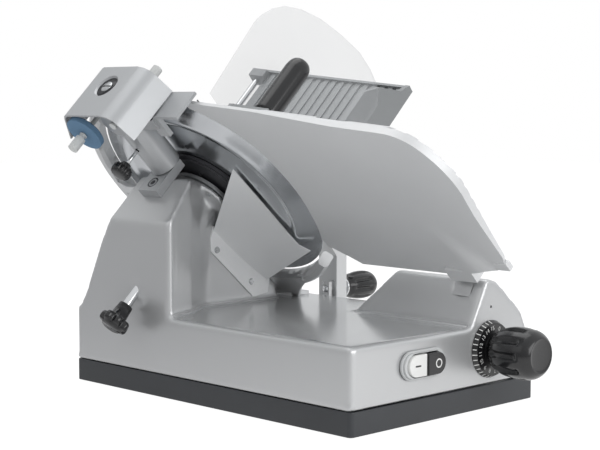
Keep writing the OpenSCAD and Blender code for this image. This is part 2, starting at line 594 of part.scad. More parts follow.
// A fluted knob along z, its neck at z = 0
module fluted_knob(r, l, n) difference() {
    rotate_extrude() polygon([
        [0, 0], [r * 0.62, 0], [r * 0.66, l * 0.08], [r * 0.86, l * 0.22], [r * 0.97, l * 0.4], [r, l * 0.58],
        [r * 0.97, l * 0.74], [r * 0.86, l * 0.88], [r * 0.68, l * 0.96], [r * 0.4, l], [0, l]]);
    flutes(n, r * 1.08, r * 0.17, l * 0.16, l * 0.56);
}
module dial_shaft() color("#c4c6c8") translate([dial_x, 0, dial_z]) rotate([90, 0, 0]) {
    translate([0, 0, -cam_y - cam_t]) cylinder(r = 6, h = half_l + cam_y + cam_t + 18);
    translate([0, 0, -cam_y - cam_t]) linear_extrude(cam_t) polygon(concat(
        [for (a = [0:5:cam_turn]) (cam_r - slice_max * a / cam_turn) * [cos(lean - a), sin(lean - a)]],
        [for (a = [cam_turn + 6:8:358]) (cam_r - slice_max) * [cos(lean - a), sin(lean - a)]]));
}
module dial_knob() color("#191a1b") translate([dial_x, -half_l - gap, dial_z]) rotate([90, 0, 0]) difference() {
    union() {
        cylinder(r1 = dial_r, r2 = dial_r - 3, h = dial_t);
        translate([0, 0, dial_t - eps]) fluted_knob(knob_r, knob_l, 10);
    }
    translate([0, 0, -1]) cylinder(r = 6.02, h = 19);
}

// Twin push switch on the front
module switch_place() translate([switch_x, -half_l - 0.1, switch_z]) rotate([90, 0, 0]) children();
button_dx = 16.5;
module switch_bezel() color("#d6d8d9") switch_place() difference() {
    union() {
        linear_extrude(4) pill(switch_b, switch_h);
        translate([0, 0, 4 - eps]) linear_extrude(2.5) pill(switch_b - 4, switch_h - 4);
        translate([0, 0, -wall - 12]) linear_extrude(wall + 13) pill(switch_b - 8.6, switch_h - 8.6);
    }
    for (s = [-1, 1]) translate([s * button_dx, 0, -wall]) linear_extrude(30) button_outline(s, gap);
}
module button_outline(s, add) intersection() {
    translate([s * 1, 0]) circle(button_r + add);
    translate([s * 2.5, 0]) square([2 * button_r + 2 * add, 2 * button_r + 2 * add], center = true);
}
module button(s, out) switch_place() translate([s * button_dx, 0, -wall + press + 0.4]) {
    linear_extrude(wall - press + 6.5 + out - 1.4) button_outline(s, 0);
    translate([0, 0, wall - press + 6.5 + out - 1.4 - eps]) linear_extrude(1) button_outline(s, -1);
}
module on_button() color("#f1f1ee") button(-1, 3);
module off_button() color("#202123") button(1, 5);

// Carriage: rail, slider, foot and arm
module carriage_rail() color("#e3e5e7") translate([rail_x, half_l - wall - 1, rail_z]) rotate([90, 0, 0])
    cylinder(r = rail_r, h = base_l - 2 * wall - 2);
module guide_bar() color("#b9bcbf") translate([rail_x - 46, -half_l + wall + gap / 3, 36]) {
    cube([14, base_l - 2 * wall - 2 * gap / 3, 8]);
}
module carriage_slider() color("#85888b") difference() {
    union() {
        translate([rail_x - 19, slider_y0, rail_z - 18]) cube([36, slider_l, 36]);
        translate([rail_x - 48, slider_y0 + 20, 44 + gap]) cube([34, slider_l - 40, 10]);
        translate([rail_x + 16, slider_y0 + 4, 42]) cube([foot_x - rail_x - 16 - 0.1, slider_l - 8, 26]);
    }
    translate([rail_x, slider_y0 - 1, rail_z]) rotate([-90, 0, 0]) cylinder(r = rail_r + 4, h = slider_l + 2);
}
module slider_bushes() color("#b08d4a") for (y = [slider_y0 + 1, slider_y0 + slider_l - 25])
    translate([rail_x, y, rail_z]) rotate([-90, 0, 0]) ring(rail_r + 3.98, rail_r + run, 24);
module carriage_foot() color("#8e9194") difference() {
    union() {
        translate([foot_x, slider_y0 + 4, 40]) cube([38, slider_l - 8, 20]);
        translate([foot_x, 107, 59]) cube([6, 14, 55]);
        for (y = [84, 144]) hull() {
            translate([pivot_x, y + 9.5, pivot_z]) rotate([90, 0, 0]) cylinder(r = 12, h = 9.5, $fn = soft_fn);
            translate([foot_x + 6, y, 58]) cube([28, 9.5, 2]);
        }
    }
    translate([pivot_x, 200, pivot_z]) rotate([90, 0, 0]) cylinder(r = pivot_r + 0.02, h = 160);
    translate([foot_x - 1, lock_y - 4.6, lock_z - 4.6]) cube([8, 9.2, 20]);
}
module pivot_pin() color("#d7d9db") translate([pivot_x, 156, pivot_z]) rotate([90, 0, 0]) {
    cylinder(r = pivot_r, h = 75);
    translate([0, 0, -1.5]) cylinder(r = pivot_r + 3, h = 4);
}
module carriage_arm() color("#c7c9cb") difference() {
    union() {
        // Upright flange and its web
        translate([arm_x, arm_y - 2.5, 66]) cube([20, 5, 96]);
        translate([arm_x + 6, arm_y + 2, 66]) cube([8, 36, 96]);
        translate([pivot_x, 142.4, pivot_z]) rotate([90, 0, 0]) cylinder(r = 11, h = 45.8);
        translate([arm_x - 0.5, lock_y, lock_z]) rotate([0, 90, 0]) cylinder(r = 11, h = 22);
        // Head under the table, square to the table
        in_table() translate([-52, table_v - table_t - 24.1, 62]) cube([74, 24, 118]);
        along_y(arm_y - 2.5, arm_y + 38) polygon([
            [arm_x, 150], [arm_x + 20, 150], wp(-150, 178), wp(-138, 178), wp(-138, 80), wp(-150, 80)]);
    }
    translate([pivot_x, 200, pivot_z]) rotate([90, 0, 0]) cylinder(r = pivot_r + run, h = 160);
    translate([arm_x - 5, lock_y, lock_z]) rotate([0, 90, 0]) cylinder(r = 4 + run, h = 40);
    in_table() translate([-200, table_v - table_t - 0.1, -20]) cube([500, 100, 400]);
}
module lock_knob() color("#191a1b") translate([arm_x + 22, lock_y, lock_z]) rotate([0, 90, 0]) {
    translate([0, 0, -33.8]) cylinder(r = 4, h = 38);
    translate([0, 0, gap]) cylinder(r = 14, h = 3);
    translate([0, 0, 3]) fluted_knob(20, 58, 9);
}

// Product table with its side wall, in the table's own frame
side_pts = [[table_v - table_t, table_w0], [150, table_w0], [150, table_w0 + 2], [table_v + side_h, 156],
    [table_v + side_h, table_w1 - 78], [table_v + side_h - 20, table_w1 - 50], [table_v + 14, table_w1 - 19],
    [table_v + 6, table_w1], [table_v - table_t, table_w1]];
module side_face(t) rotate([90, 0, 90]) linear_extrude(t) children();
module product_table() color("#a7a9ab") in_table() difference() {
    union() {
        // Floor with ribs along the slope
        translate([table_s0, table_v - table_t, table_w0]) cube([table_b, table_t, table_l]);
        for (i = [0:16]) translate([table_s0 + 13 + i * 14.5, table_v - 1, table_w0 + 4])
            cube([8, 3, table_l - 8]);
        // Side wall
        translate([table_s0, 0, 0]) side_face(side_t) polygon(side_pts);
        // Raised lip along the top end
        translate([table_s0, table_v - table_t, table_w1 - 4]) cube([table_b, table_t + 5, 4]);
        // Ears that hold the pusher's rod
        for (w0 = [table_w0 + 6, rod_w1 - 12]) translate([table_s1 - 4, table_v - 12, w0]) cube([28, 22, 14]);
        // Arm that holds the grip
        translate([grip_s - 14, grip_v - 14, table_w0 + 2]) cube([table_s0 - grip_s + 18, 28, 16]);
    }
    translate([rod_s, table_v, -10]) cylinder(r = rod_r + 0.02, h = 400);
    translate([grip_s, grip_v, table_w0 - 5]) cylinder(r = 4.1, h = 30);
    for (p = shield_holes) translate([table_s0 - 1, p[0], p[1]]) rotate([0, 90, 0]) cylinder(r = 2.2, h = side_t + 2);
}
shield_t = 4;
shield_holes = [[86, 38], [16, 90], [-54, 150]];
shield_pts = [[176, 6], [92, 8], [table_v + side_h - 32, 134], [table_v + side_h - 32, 228],
    [table_v + side_h - 16, 240], [-57, 243], [-19, 246], [15, 243], [60, 229], [107, 210], [141, 190],
    [164, 171], [177, 152], [185, 132], [187, 118]];
module hand_shield() color([0.86, 0.9, 0.92, 0.35]) in_table() difference() {
    translate([table_s0 - shield_t - 0.1, 0, 0]) side_face(shield_t) polygon(shield_pts);
    for (p = shield_holes) translate([table_s0 - 9, p[0], p[1]]) rotate([0, 90, 0]) cylinder(r = 2.4, h = 12);
    translate([table_s0 - 10, grip_v - 14 - gap, 0]) cube([20, 28 + 2 * gap, table_w0 + 18 + gap]);
}
module shield_screws() color("#b9bcbf") in_table() for (p = shield_holes)
    translate([table_s0 - shield_t - 0.2, p[0], p[1]]) rotate([0, -90, 0]) pan_screw(2.1, shield_t + 6, 4.2, 2);
module grip() color("#1b1c1d") in_table() translate([grip_s, grip_v, grip_w]) {
    rotate_extrude() polygon([
        [0, -20], [4, -20], [4, 0], [grip_r - 1.5, 0], [grip_r, 3], [grip_r, grip_l - 16], [grip_r * 0.93, grip_l - 8],
        [grip_r * 0.74, grip_l - 3], [grip_r * 0.42, grip_l], [0, grip_l]]);
}

// Pusher: it slides on its rod and swings off the table
module pusher_rod() color("#e3e5e7") in_table() translate([rod_s, table_v, table_w0 + 2])
    cylinder(r = rod_r, h = rod_w1 - table_w0 + 4);
pusher_w = 28;
sleeve_r = 7;
// The sleeve slides on the rod, and the arm swings on the sleeve between its two flanges
module pusher_sleeve() color("#c4c6c8") in_table() translate([rod_s, table_v, pusher_w + 11]) difference() {
    union() {
        cylinder(r = sleeve_r, h = 52);
        cylinder(r = 10, h = 2.5);
        translate([0, 0, 49.5]) cylinder(r = 10, h = 2.5);
    }
    translate([0, 0, -1]) cylinder(r = rod_r + run, h = 54);
}
module pusher_arm() color("#a7a9ab") in_table() difference() {
    union() {
        translate([rod_s, table_v, pusher_w + 13.8]) cylinder(r = 10.5, h = 46.4);
        translate([rod_s - 9, table_v, pusher_w + 22]) cube([14, 84, 26]);
        translate([-30, table_v + 70, pusher_w + 22]) cube([rod_s + 35, 14, 26]);
        translate([-50, table_v + 8, pusher_w]) cube([130, 86, 7]);
        translate([4, table_v + 64, pusher_w + 6]) cube([24, 20, 20]);
        for (i = [0:6], j = [0:3]) translate([-40 + i * 18, table_v + 20 + j * 20, pusher_w - 5])
            cylinder(r1 = 0.6, r2 = 4, h = 6, $fn = 12);
    }
    translate([rod_s, table_v, 0]) cylinder(r = sleeve_r + run, h = 300);
    translate([16, table_v + 77, pusher_w + 30]) cylinder(r = 4.1, h = 30);
}
module pusher_knob() color("#1b1c1d") in_table() translate([16, table_v + 77, pusher_w + 48.1]) rotate_extrude()
    polygon([[0, -14], [4, -14], [4, 0], [8, 0], [9, 6], [16, 14], [18, 22], [15, 31], [8, 35], [0, 36]]);

// Sharpener on its clamp and post, behind the blade
module sharpener_clamp() color("#bfc1c3") in_blade() difference() {
    union() {
        translate([-18, clamp_u, -80]) cube([36, clamp_h, 55]);
        translate([0, clamp_u + clamp_h - eps, post_w]) rotate([-90, 0, 0]) cylinder(r = 16, h = 1);
    }
    translate([0, clamp_u - 1, post_w]) rotate([-90, 0, 0]) cylinder(r = post_r + 0.02, h = 30);
    translate([0, clamp_u - 1, -66]) rotate([-90, 0, 0]) cylinder(r = 4.2, h = 30);
    translate([0, clamp_u + clamp_h - 3, -66]) rotate([-90, 0, 0]) cylinder(r = 8, h = 30);
    translate([18, clamp_u - 1, -90]) rotate([0, 45, 0]) cube([8, 30, 20]);
}
module clamp_screw() color("#6c6f72") in_blade() translate([0, clamp_u + clamp_h - 0.5, -66]) rotate([-90, 0, 0])
    rotate([0, 0, 15]) socket_screw(4, 17, 7.6, 2.4);
module sharpener_post() color("#dcdee0") in_blade() translate([0, clamp_u + 0.2, post_w]) rotate([-90, 0, 0])
    cylinder(r = post_r, h = 112);
body_u = clamp_u + clamp_h + 1.3;
lock_u = 122;
module sharpener_body() color("#c3c5c7") in_blade() difference() {
    union() {
        translate([0, body_u, post_w]) rotate([-90, 0, 0]) cylinder(r = column_r, h = 92);
        translate([-33, body_u + 86, -52]) cube([69, 35, 46]);
        translate([-20, body_u + 120, -52]) cube([50, cover_u - 2.6 - body_u - 120, 46]);
        // Arm and shoe over the blade's edge
        translate([-52, 146, -42]) cube([40, 16, 14]);
        translate([-60, 132, -39]) cube([18, 30, 6]);
        translate([-98, 161.5, -39]) cube([56, 4, 43]);
    }
    translate([0, body_u - 1, post_w]) rotate([-90, 0, 0]) cylinder(r = post_r + run, h = 104);
    translate([stone_y, stone_u, -80]) cylinder(r = push_r + run, h = 120);
    translate([inner_y, inner_u, -80]) cylinder(r = push_r + run, h = 120);
    translate([0, lock_u, post_w - column_r - 4]) cylinder(r = 3 + run, h = column_r);
    translate([8, cover_u - 20, -12 - 9]) rotate([-90, 0, 0]) cylinder(r = 3, h = 30);
}
cover_b = 94;
module cover_profile(t) polygon([
    [cover_b / 2 + 24 - t, cover_u - 42], [cover_b / 2 + 2 - t, cover_u - 7], [cover_b / 2 - 3 - t / 2, cover_u - 1.5 - t],
    [cover_b / 2 - 8, cover_u - t], [-cover_b / 2 + 20, cover_u - t], [-cover_b / 2 + 9, cover_u - 3 - t],
    [-cover_b / 2 + 1 + t / 2, cover_u - 9 - t / 2], [-cover_b / 2 - 2 + t, cover_u - 17],
    [-cover_b / 2 - 10 + t, cover_u - 42]]);
module sharpener_cover() color("#cacccd") in_blade() difference() {
    translate([0, 0, -80]) linear_extrude(cover_l) cover_profile(0);
    translate([0, 0, -81]) linear_extrude(cover_l + 2) difference() {
        cover_profile(2.5);
        translate([-100, -100]) square([200, cover_u - 42 + 100]);
    }
    translate([-100, cover_u - 60, -82]) cube([200, 18 + eps, cover_l + 4]);
    translate([8, cover_u - 10, -21]) rotate([-90, 0, 0]) linear_extrude(20) rotate(20) pill(22, 11);
}
module sharpener_lock() color("#1b1c1d") in_blade() translate([0, lock_u, 0]) {
    translate([0, 0, -84]) cylinder(r = 3, h = 84 + post_w - post_r - gap);
    translate([0, 0, -84]) cylinder(r1 = 8, r2 = 6, h = 6);
    translate([0, 0, -97]) linear_extrude(13.1) lobed(13, 3.6, 8);
}
module outer_push_rod() color("#d9dada") in_blade() translate([stone_y, stone_u, 0]) {
    translate([0, 0, -100]) cylinder(r = push_r, h = 100 + 2);
    translate([0, 0, -108]) cylinder(r = 6.5, h = 18);
    translate([0, 0, -86]) ring(5, push_r - eps, 2);
}
module outer_stone() color("#5f86ab") in_blade() translate([stone_y, stone_u, -83.5]) difference() {
    union() {
        cylinder(r = stone_r, h = 6.5);
        translate([0, 0, 6.4]) cylinder(r1 = stone_r, r2 = stone_r - 3, h = 2);
        cylinder(r = 8, h = 11);
    }
    translate([0, 0, -1]) cylinder(r = push_r + run, h = 20);
}
module inner_push_rod() color("#d9dada") in_blade() translate([inner_y, inner_u, 0]) {
    translate([0, 0, -72]) cylinder(r = push_r, h = 82);
    translate([0, 0, 9]) cylinder(r = 6.5, h = 17);
    translate([0, 0, -74]) cylinder(r = 5, h = 2.5);
}
module inner_stone() color("#5f86ab") in_blade() translate([inner_y, inner_u, -71]) difference() {
    union() {
        cylinder(r = inner_r, h = 6);
        cylinder(r = 7, h = 9);
    }
    translate([0, 0, -1]) cylinder(r = push_r + run, h = 20);
}

base_housing();
plinth();
bottom_plate();
plate_screws();
rubber_feet();
cable_gland();
control_box();
motor();
motor_plate();
motor_screws();
motor_pulley();
drive_belt();
bearing_housing();
shaft_bearings();
frame_screws();
blade_shaft();
blade_pulley();
blade_hub();
blade();
blade_screws();
knife_cover();
tie_rod();
star_knob();
ring_guard();
slice_deflector();
deflector_screws();
gauge_plate();
gauge_arm();
gauge_guide_rods();
dial_shaft();
dial_knob();
switch_bezel();
on_button();
off_button();
carriage_rail();
guide_bar();
carriage_slider();
slider_bushes();
carriage_foot();
pivot_pin();
carriage_arm();
lock_knob();
product_table();
hand_shield();
shield_screws();
grip();
pusher_rod();
pusher_sleeve();
pusher_arm();
pusher_knob();
sharpener_clamp();
clamp_screw();
sharpener_post();
sharpener_body();
sharpener_cover();
sharpener_lock();
outer_push_rod();
outer_stone();
inner_push_rod();
inner_stone();
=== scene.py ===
"""Looks of the gravity feed meat slicer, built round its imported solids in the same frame, in metres."""

import json
import math

import bmesh
import bpy
from mathutils import Matrix, Vector


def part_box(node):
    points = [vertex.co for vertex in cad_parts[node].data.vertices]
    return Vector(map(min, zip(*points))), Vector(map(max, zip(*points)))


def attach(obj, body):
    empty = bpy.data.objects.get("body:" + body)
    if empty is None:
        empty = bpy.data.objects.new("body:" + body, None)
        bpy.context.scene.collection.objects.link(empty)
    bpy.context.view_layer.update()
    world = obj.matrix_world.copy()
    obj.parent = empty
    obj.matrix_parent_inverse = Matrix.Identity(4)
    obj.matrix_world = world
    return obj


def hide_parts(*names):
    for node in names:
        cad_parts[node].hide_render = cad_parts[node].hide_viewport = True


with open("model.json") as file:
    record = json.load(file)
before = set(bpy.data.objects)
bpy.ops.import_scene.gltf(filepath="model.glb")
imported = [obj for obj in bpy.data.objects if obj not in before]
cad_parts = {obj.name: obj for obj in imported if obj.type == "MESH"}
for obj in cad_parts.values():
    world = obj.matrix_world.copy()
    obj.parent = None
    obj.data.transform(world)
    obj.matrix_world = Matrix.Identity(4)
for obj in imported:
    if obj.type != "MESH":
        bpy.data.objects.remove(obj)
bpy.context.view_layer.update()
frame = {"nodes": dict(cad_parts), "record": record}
NODES = frame["nodes"]

bl_info = {
    "name": "Gravity feed meat slicer",
    "version": (1, 0, 0),
    "blender": (4, 5, 0),
    "location": "3D View > Sidebar > Slicer",
    "description": "Finishes and fine pieces of a gravity feed meat slicer",
    "category": "Object",
}

ROOT_HALF = math.sqrt(0.5)
BLADE_CENTRE = Vector((-0.032, 0.124, 0.257))
TABLE_TILT = math.radians(8)
BLADE_FRAME = Matrix.Translation(BLADE_CENTRE) @ Matrix((
    (0, -ROOT_HALF, ROOT_HALF, 0), (1, 0, 0, 0), (0, ROOT_HALF, ROOT_HALF, 0), (0, 0, 0, 1)))
TABLE_FRAME = BLADE_FRAME @ Matrix.Rotation(TABLE_TILT, 4, "Z")
SLOPE_FRAME = Matrix.Translation((0.0607, -0.217, 0.1375)) @ Matrix((
    (0, 0.4537, -0.8912, 0), (-1, 0, 0, 0), (0, 0.8912, 0.4537, 0), (0, 0, 0, 1)))
DIAL_FRAME = Matrix.Translation((0.077, -0.2478, 0.0725)) @ Matrix.Rotation(math.radians(90), 4, "X")
SWITCH_FRAME = Matrix.Translation((-0.047, -0.2476, 0.070)) @ Matrix.Rotation(math.radians(90), 4, "X")
LOCK_SEAT = Vector((0.1985, 0.114, 0.104))

# Corners this near are merged, and the housing's skin isn't rubbed this low above the plinth, in metres.
WELD = 2e-6
UNRUBBED_RIM = 0.006

# The deck's polish fades in and out between these pairs of places, in metres.
DECK_LOWER = (0.0985, 0.1005)
DECK_UPPER = (0.102, 0.106)
DECK_LEFT = (-0.159, -0.156)
DECK_FRONT = (-0.244, -0.241)

# The fill of the tie rod's recess, in mm of the blade's frame.
PLUG_R = 15
PLUG_START = -196
PLUG_END = -150

# The dial's marks: how many, and their steps and places in degrees and metres.
DIAL_NUMBERS = 16
DIAL_LINES = 31
NUMERAL_STEP = 22
LINE_STEP = 11
NUMERAL_R = 0.0254
ZERO_TURN = 68
RIM_SLOPE = math.radians(-62)

# Half the gap between the switch's keys, the arc that clears the blade and the plate's ribs, in mm.
KEY_GAP = 0.4
BLADE_CLEAR_R = 168
RIBS = range(-7, 10)
RIB_PITCH = 17

# Where the floor glows in polished metal, and how far the glow reaches, in metres.
GLOW_CENTRE = (0.4, -0.5, 0.0)
GLOW_RANGE = (0.5, 1.6)

# The photograph's camera: focal length and width in pixels, sensor in mm, place in metres, angles in degrees.
FOCAL_PIXELS = 1507.218
PHOTO_PIXELS = 600
SENSOR_MM = 36.0
CAMERA_PLACE = (-1.326716, -1.351387, 0.367048)
CAMERA_DIP = 4.7457
CAMERA_TURN = -44.564


# Shader maths


class Wire:
    """One output of a node. Its operators add the nodes of the sum, so shader maths reads as Python."""

    def __init__(self, paint, socket):
        self.paint = paint
        self.socket = socket

    def _math(self, operation, first, second):
        return self.paint.node("ShaderNodeMath", {"operation": operation}, {0: first, 1: second})

    def __add__(self, other):
        return self._math("ADD", self, other)

    def __sub__(self, other):
        return self._math("SUBTRACT", self, other)

    def __rsub__(self, other):
        return self._math("SUBTRACT", other, self)

    def __mul__(self, other):
        return self._math("MULTIPLY", self, other)

    __radd__ = __add__
    __rmul__ = __mul__


class Paint:
    """The nodes of a new material or of a world: node() adds one, and close() ends a material."""

    def __init__(self, name, world=None):
        self.owner = bpy.data.materials.new(name) if world is None else world
        self.owner.use_nodes = True
        self.tree = self.owner.node_tree
        self.tree.nodes.clear()

    def node(self, kind, settings=None, sockets=None, out=0):
        """Adds a node with its settings and inputs, and gives one of its outputs."""
        made = self.tree.nodes.new(kind)
        for key, value in (settings or {}).items():
            setattr(made, key, value)
        for key, value in (sockets or {}).items():
            if isinstance(value, Wire):
                self.tree.links.new(value.socket, made.inputs[key])
            elif isinstance(value, (tuple, list, Vector)) and made.inputs[key].type == "RGBA":
                made.inputs[key].default_value = (*value, 1) if len(value) == 3 else value
            else:
                made.inputs[key].default_value = value
        return Wire(self, made.outputs[out]) if made.outputs else None

    def place(self, scale=(1, 1, 1)):
        """Object coordinates, scaled for a pattern."""
        spot = self.node("ShaderNodeTexCoord", out="Object")
        return self.node("ShaderNodeMapping", {"vector_type": "POINT"}, {"Vector": spot, "Scale": scale})

    def noise(self, scale, detail=3.0, rough=0.5, where=None):
        """Cloudy noise, in object coordinates unless other ones are given."""
        return self.node("ShaderNodeTexNoise", None, {
            "Vector": where or self.place(), "Scale": scale, "Detail": detail, "Roughness": rough})

    def fit(self, value, low, high, to_low=0.0, to_high=1.0):
        """A value's range, clamped and moved to another."""
        return self.node("ShaderNodeMapRange", {"clamp": True}, {
            "Value": value, "From Min": low, "From Max": high, "To Min": to_low, "To Max": to_high})

    def blend(self, amount, first, second):
        """A colour part way from the first to the second."""
        return self.node("ShaderNodeMix", {"data_type": "RGBA"}, {0: amount, 6: first, 7: second}, out=2)

    def bump(self, height, depth, strength):
        """A normal that follows a height, which is depth metres at its full."""
        return self.node("ShaderNodeBump", None, {"Height": height, "Distance": depth, "Strength": strength})

    def close(self, **sockets):
        """Closes the material with a Principled shader; the sockets are named with underscores for blanks."""
        shader = self.node("ShaderNodeBsdfPrincipled", None,
                           {key.replace("_", " "): value for key, value in sockets.items()})
        self.node("ShaderNodeOutputMaterial", None, {"Surface": shader})
        return self.owner


def tint(colour, factor):
    """A colour made lighter or darker, at most white."""
    return tuple(min(1.0, c * factor) for c in colour)


def cast_alloy(name, colour, rough, grain, wear=0.02, metal=0.7):
    """Satin cast aluminium: fine grain, soft cloudy polish and a lighter bloom here and there."""
    paint = Paint(name)
    clouds = paint.noise(9.0, 3.0, 0.5)
    fine = paint.noise(900.0, 2.0, 0.6)
    strokes = paint.noise(60.0, 3.0, 0.6, paint.place(scale=(1, 6, 1)))
    shade = paint.blend(paint.fit(clouds, 0.3, 0.7), tint(colour, 1 - wear), tint(colour, 1 + wear))
    roughness = paint.fit(clouds + strokes * 0.5, 0.5, 1.0, rough - 0.03, rough + 0.03)
    return paint.close(Base_Color=shade, Metallic=metal, Roughness=roughness,
                       Normal=paint.bump(fine, 0.00004, grain))


def housing_alloy(name, colour, rough, deck_rough):
    """Brushed cast aluminium whose flat deck has been polished by use."""
    paint = Paint(name)
    clouds = paint.noise(7.0, 3.0, 0.5)
    fine = paint.noise(1500.0, 2.0, 0.6)
    spot = paint.place()
    right, back, height = (paint.node("ShaderNodeSeparateXYZ", None, {0: spot}, axis) for axis in range(3))
    deck = paint.fit(height, *DECK_LOWER) * (1 - paint.fit(height, *DECK_UPPER))
    deck = deck * paint.fit(right, *DECK_LEFT) * paint.fit(back, *DECK_FRONT)
    shade = paint.blend(paint.fit(clouds, 0.3, 0.7), tint(colour, 0.97), colour)
    shade = paint.blend(deck, shade, tint(colour, 1.06))
    worn = paint.fit(clouds, 0.3, 0.7, rough - 0.03, rough + 0.03)
    return paint.close(Base_Color=shade, Metallic=0.62, Roughness=worn - deck * (rough - deck_rough),
                       Normal=paint.bump(fine, 0.00001, 0.25))


def brushed(name, colour, rough, metal=1.0):
    """Brushed sheet steel: long fine scratches that run one way."""
    paint = Paint(name)
    lines = paint.noise(700.0, 3.0, 0.6, paint.place(scale=(1, 40, 1)))
    clouds = paint.noise(9.0, 2.0)
    shade = paint.blend(paint.fit(lines, 0.3, 0.7), tint(colour, 0.96), colour)
    roughness = paint.fit(clouds, 0.3, 0.7, rough - 0.02, rough + 0.04)
    return paint.close(Base_Color=shade, Metallic=metal, Roughness=roughness,
                       Normal=paint.bump(lines, 0.00002, 0.15))


def polished(name, colour, rough):
    """Chrome or a mirror polish with the faintest haze."""
    paint = Paint(name)
    haze = paint.noise(30.0, 3.0)
    gloss = paint.fit(haze, 0.3, 0.7, rough * 0.6, rough * 1.5)
    return paint.close(Base_Color=colour, Metallic=1.0, Roughness=gloss)


def moulded(name, colour, rough, coat=0.0):
    """Moulded plastic: an even colour with a light skin and small variations of gloss."""
    paint = Paint(name)
    skin = paint.noise(700.0, 2.0)
    clouds = paint.noise(25.0, 3.0)
    shade = paint.blend(paint.fit(clouds, 0.35, 0.65), tint(colour, 0.9), colour)
    return paint.close(Base_Color=shade, Roughness=paint.fit(clouds, 0.3, 0.7, rough * 0.85, rough * 1.2),
                       Coat_Weight=coat, Specular_IOR_Level=0.5, Normal=paint.bump(skin, 0.00001, 0.4))


def painted(name, colour, rough):
    """Powder paint: a slight orange peel."""
    paint = Paint(name)
    peel = paint.noise(420.0, 2.0)
    clouds = paint.noise(12.0, 3.0)
    shade = paint.blend(paint.fit(clouds, 0.3, 0.7), tint(colour, 0.85), tint(colour, 1.1))
    return paint.close(Base_Color=shade, Roughness=paint.fit(clouds, 0.3, 0.7, rough - 0.05, rough + 0.08),
                       Normal=paint.bump(peel, 0.00002, 0.6))


def abrasive(name, colour):
    """Grinding stone: coloured grit in a chalky bond."""
    paint = Paint(name)
    grit = paint.noise(2600.0, 3.0, 0.8)
    patches = paint.noise(90.0, 3.0)
    shade = paint.blend(paint.fit(grit, 0.4, 0.62), tint(colour, 0.6), tint(colour, 1.5))
    return paint.close(Base_Color=paint.blend(paint.fit(patches, 0.4, 0.7, 0, 0.35), shade, colour),
                       Roughness=0.9, Normal=paint.bump(grit, 0.00015, 0.8))


def clear_sheet(name):
    """Clear acrylic: mostly seen through, with a faint grey film and bright gloss."""
    paint = Paint(name)
    haze = paint.noise(8.0, 2.0)
    shader = paint.node("ShaderNodeBsdfPrincipled", None, {
        "Base Color": (0.55, 0.56, 0.57), "Roughness": paint.fit(haze, 0.3, 0.7, 0.03, 0.06),
        "Alpha": paint.fit(haze, 0.2, 0.8, 0.15, 0.18), "IOR": 1.49})
    paint.node("ShaderNodeOutputMaterial", None, {"Surface": shader})
    return paint.owner


FINISHES = {
    "housing": lambda: housing_alloy("cast_housing", (0.60, 0.605, 0.61), 0.34, 0.17),
    "plinth": lambda: painted("plinth_black", (0.036, 0.039, 0.044), 0.36),
    "plate_steel": lambda: brushed("plate_steel", (0.5, 0.51, 0.52), 0.4),
    "screw_steel": lambda: brushed("screw_steel", (0.55, 0.56, 0.57), 0.25),
    "rubber": lambda: moulded("rubber_black", (0.02, 0.02, 0.02), 0.7),
    "dark_plastic": lambda: moulded("dark_plastic", (0.03, 0.03, 0.032), 0.5),
    "motor_paint": lambda: painted("motor_grey", (0.1, 0.105, 0.11), 0.45),
    "bearing_steel": lambda: polished("bearing_steel", (0.6, 0.61, 0.62), 0.12),
    "shaft_steel": lambda: polished("shaft_steel", (0.62, 0.63, 0.64), 0.16),
    "hub_black": lambda: painted("hub_black", (0.03, 0.03, 0.034), 0.4),
    "blade_steel": lambda: polished("blade_mirror", (0.72, 0.74, 0.76), 0.18),
    "cover_steel": lambda: polished("cover_polish", (0.62, 0.64, 0.66), 0.24),
    "chrome": lambda: polished("bright_chrome", (0.75, 0.76, 0.77), 0.06),
    "knob_black": lambda: moulded("knob_black", (0.008, 0.008, 0.009), 0.2, 0.25),
    "guard_alloy": lambda: cast_alloy("guard_alloy", (0.7, 0.705, 0.71), 0.4, 0.1, metal=0.55),
    "sheet_steel": lambda: brushed("sheet_steel", (0.86, 0.865, 0.87), 0.42, metal=0.35),
    "gauge_alloy": lambda: cast_alloy("gauge_alloy", (0.74, 0.745, 0.75), 0.45, 0.15, 0.012, metal=0.45),
    "bezel_grey": lambda: moulded("bezel_grey", (0.6, 0.61, 0.61), 0.35),
    "button_white": lambda: moulded("button_white", (0.85, 0.85, 0.83), 0.3, 0.2),
    "button_black": lambda: moulded("button_black", (0.015, 0.015, 0.016), 0.25, 0.2),
    "cast_grey": lambda: cast_alloy("cast_grey", (0.42, 0.43, 0.44), 0.45, 0.15),
    "bush_brass": lambda: polished("bush_brass", (0.6, 0.44, 0.18), 0.2),
    "table_alloy": lambda: cast_alloy("table_alloy", (0.34, 0.35, 0.355), 0.5, 0.15),
    "acrylic": lambda: clear_sheet("clear_acrylic"),
    "column_alloy": lambda: cast_alloy("column_alloy", (0.5, 0.51, 0.52), 0.4, 0.1),
    "push_grey": lambda: moulded("push_grey", (0.66, 0.67, 0.66), 0.35),
    "stone_blue": lambda: abrasive("stone_blue", (0.12, 0.22, 0.34)),
}
MADE = {}


def finish_of(slot):
    """The material of a slot, made when it is first asked for."""
    if slot not in MADE:
        MADE[slot] = FINISHES[slot]()
    return MADE[slot]


# Making pieces


def mm(*values):
    """Millimetres as a vector in metres."""
    return Vector(value / 1000 for value in values)


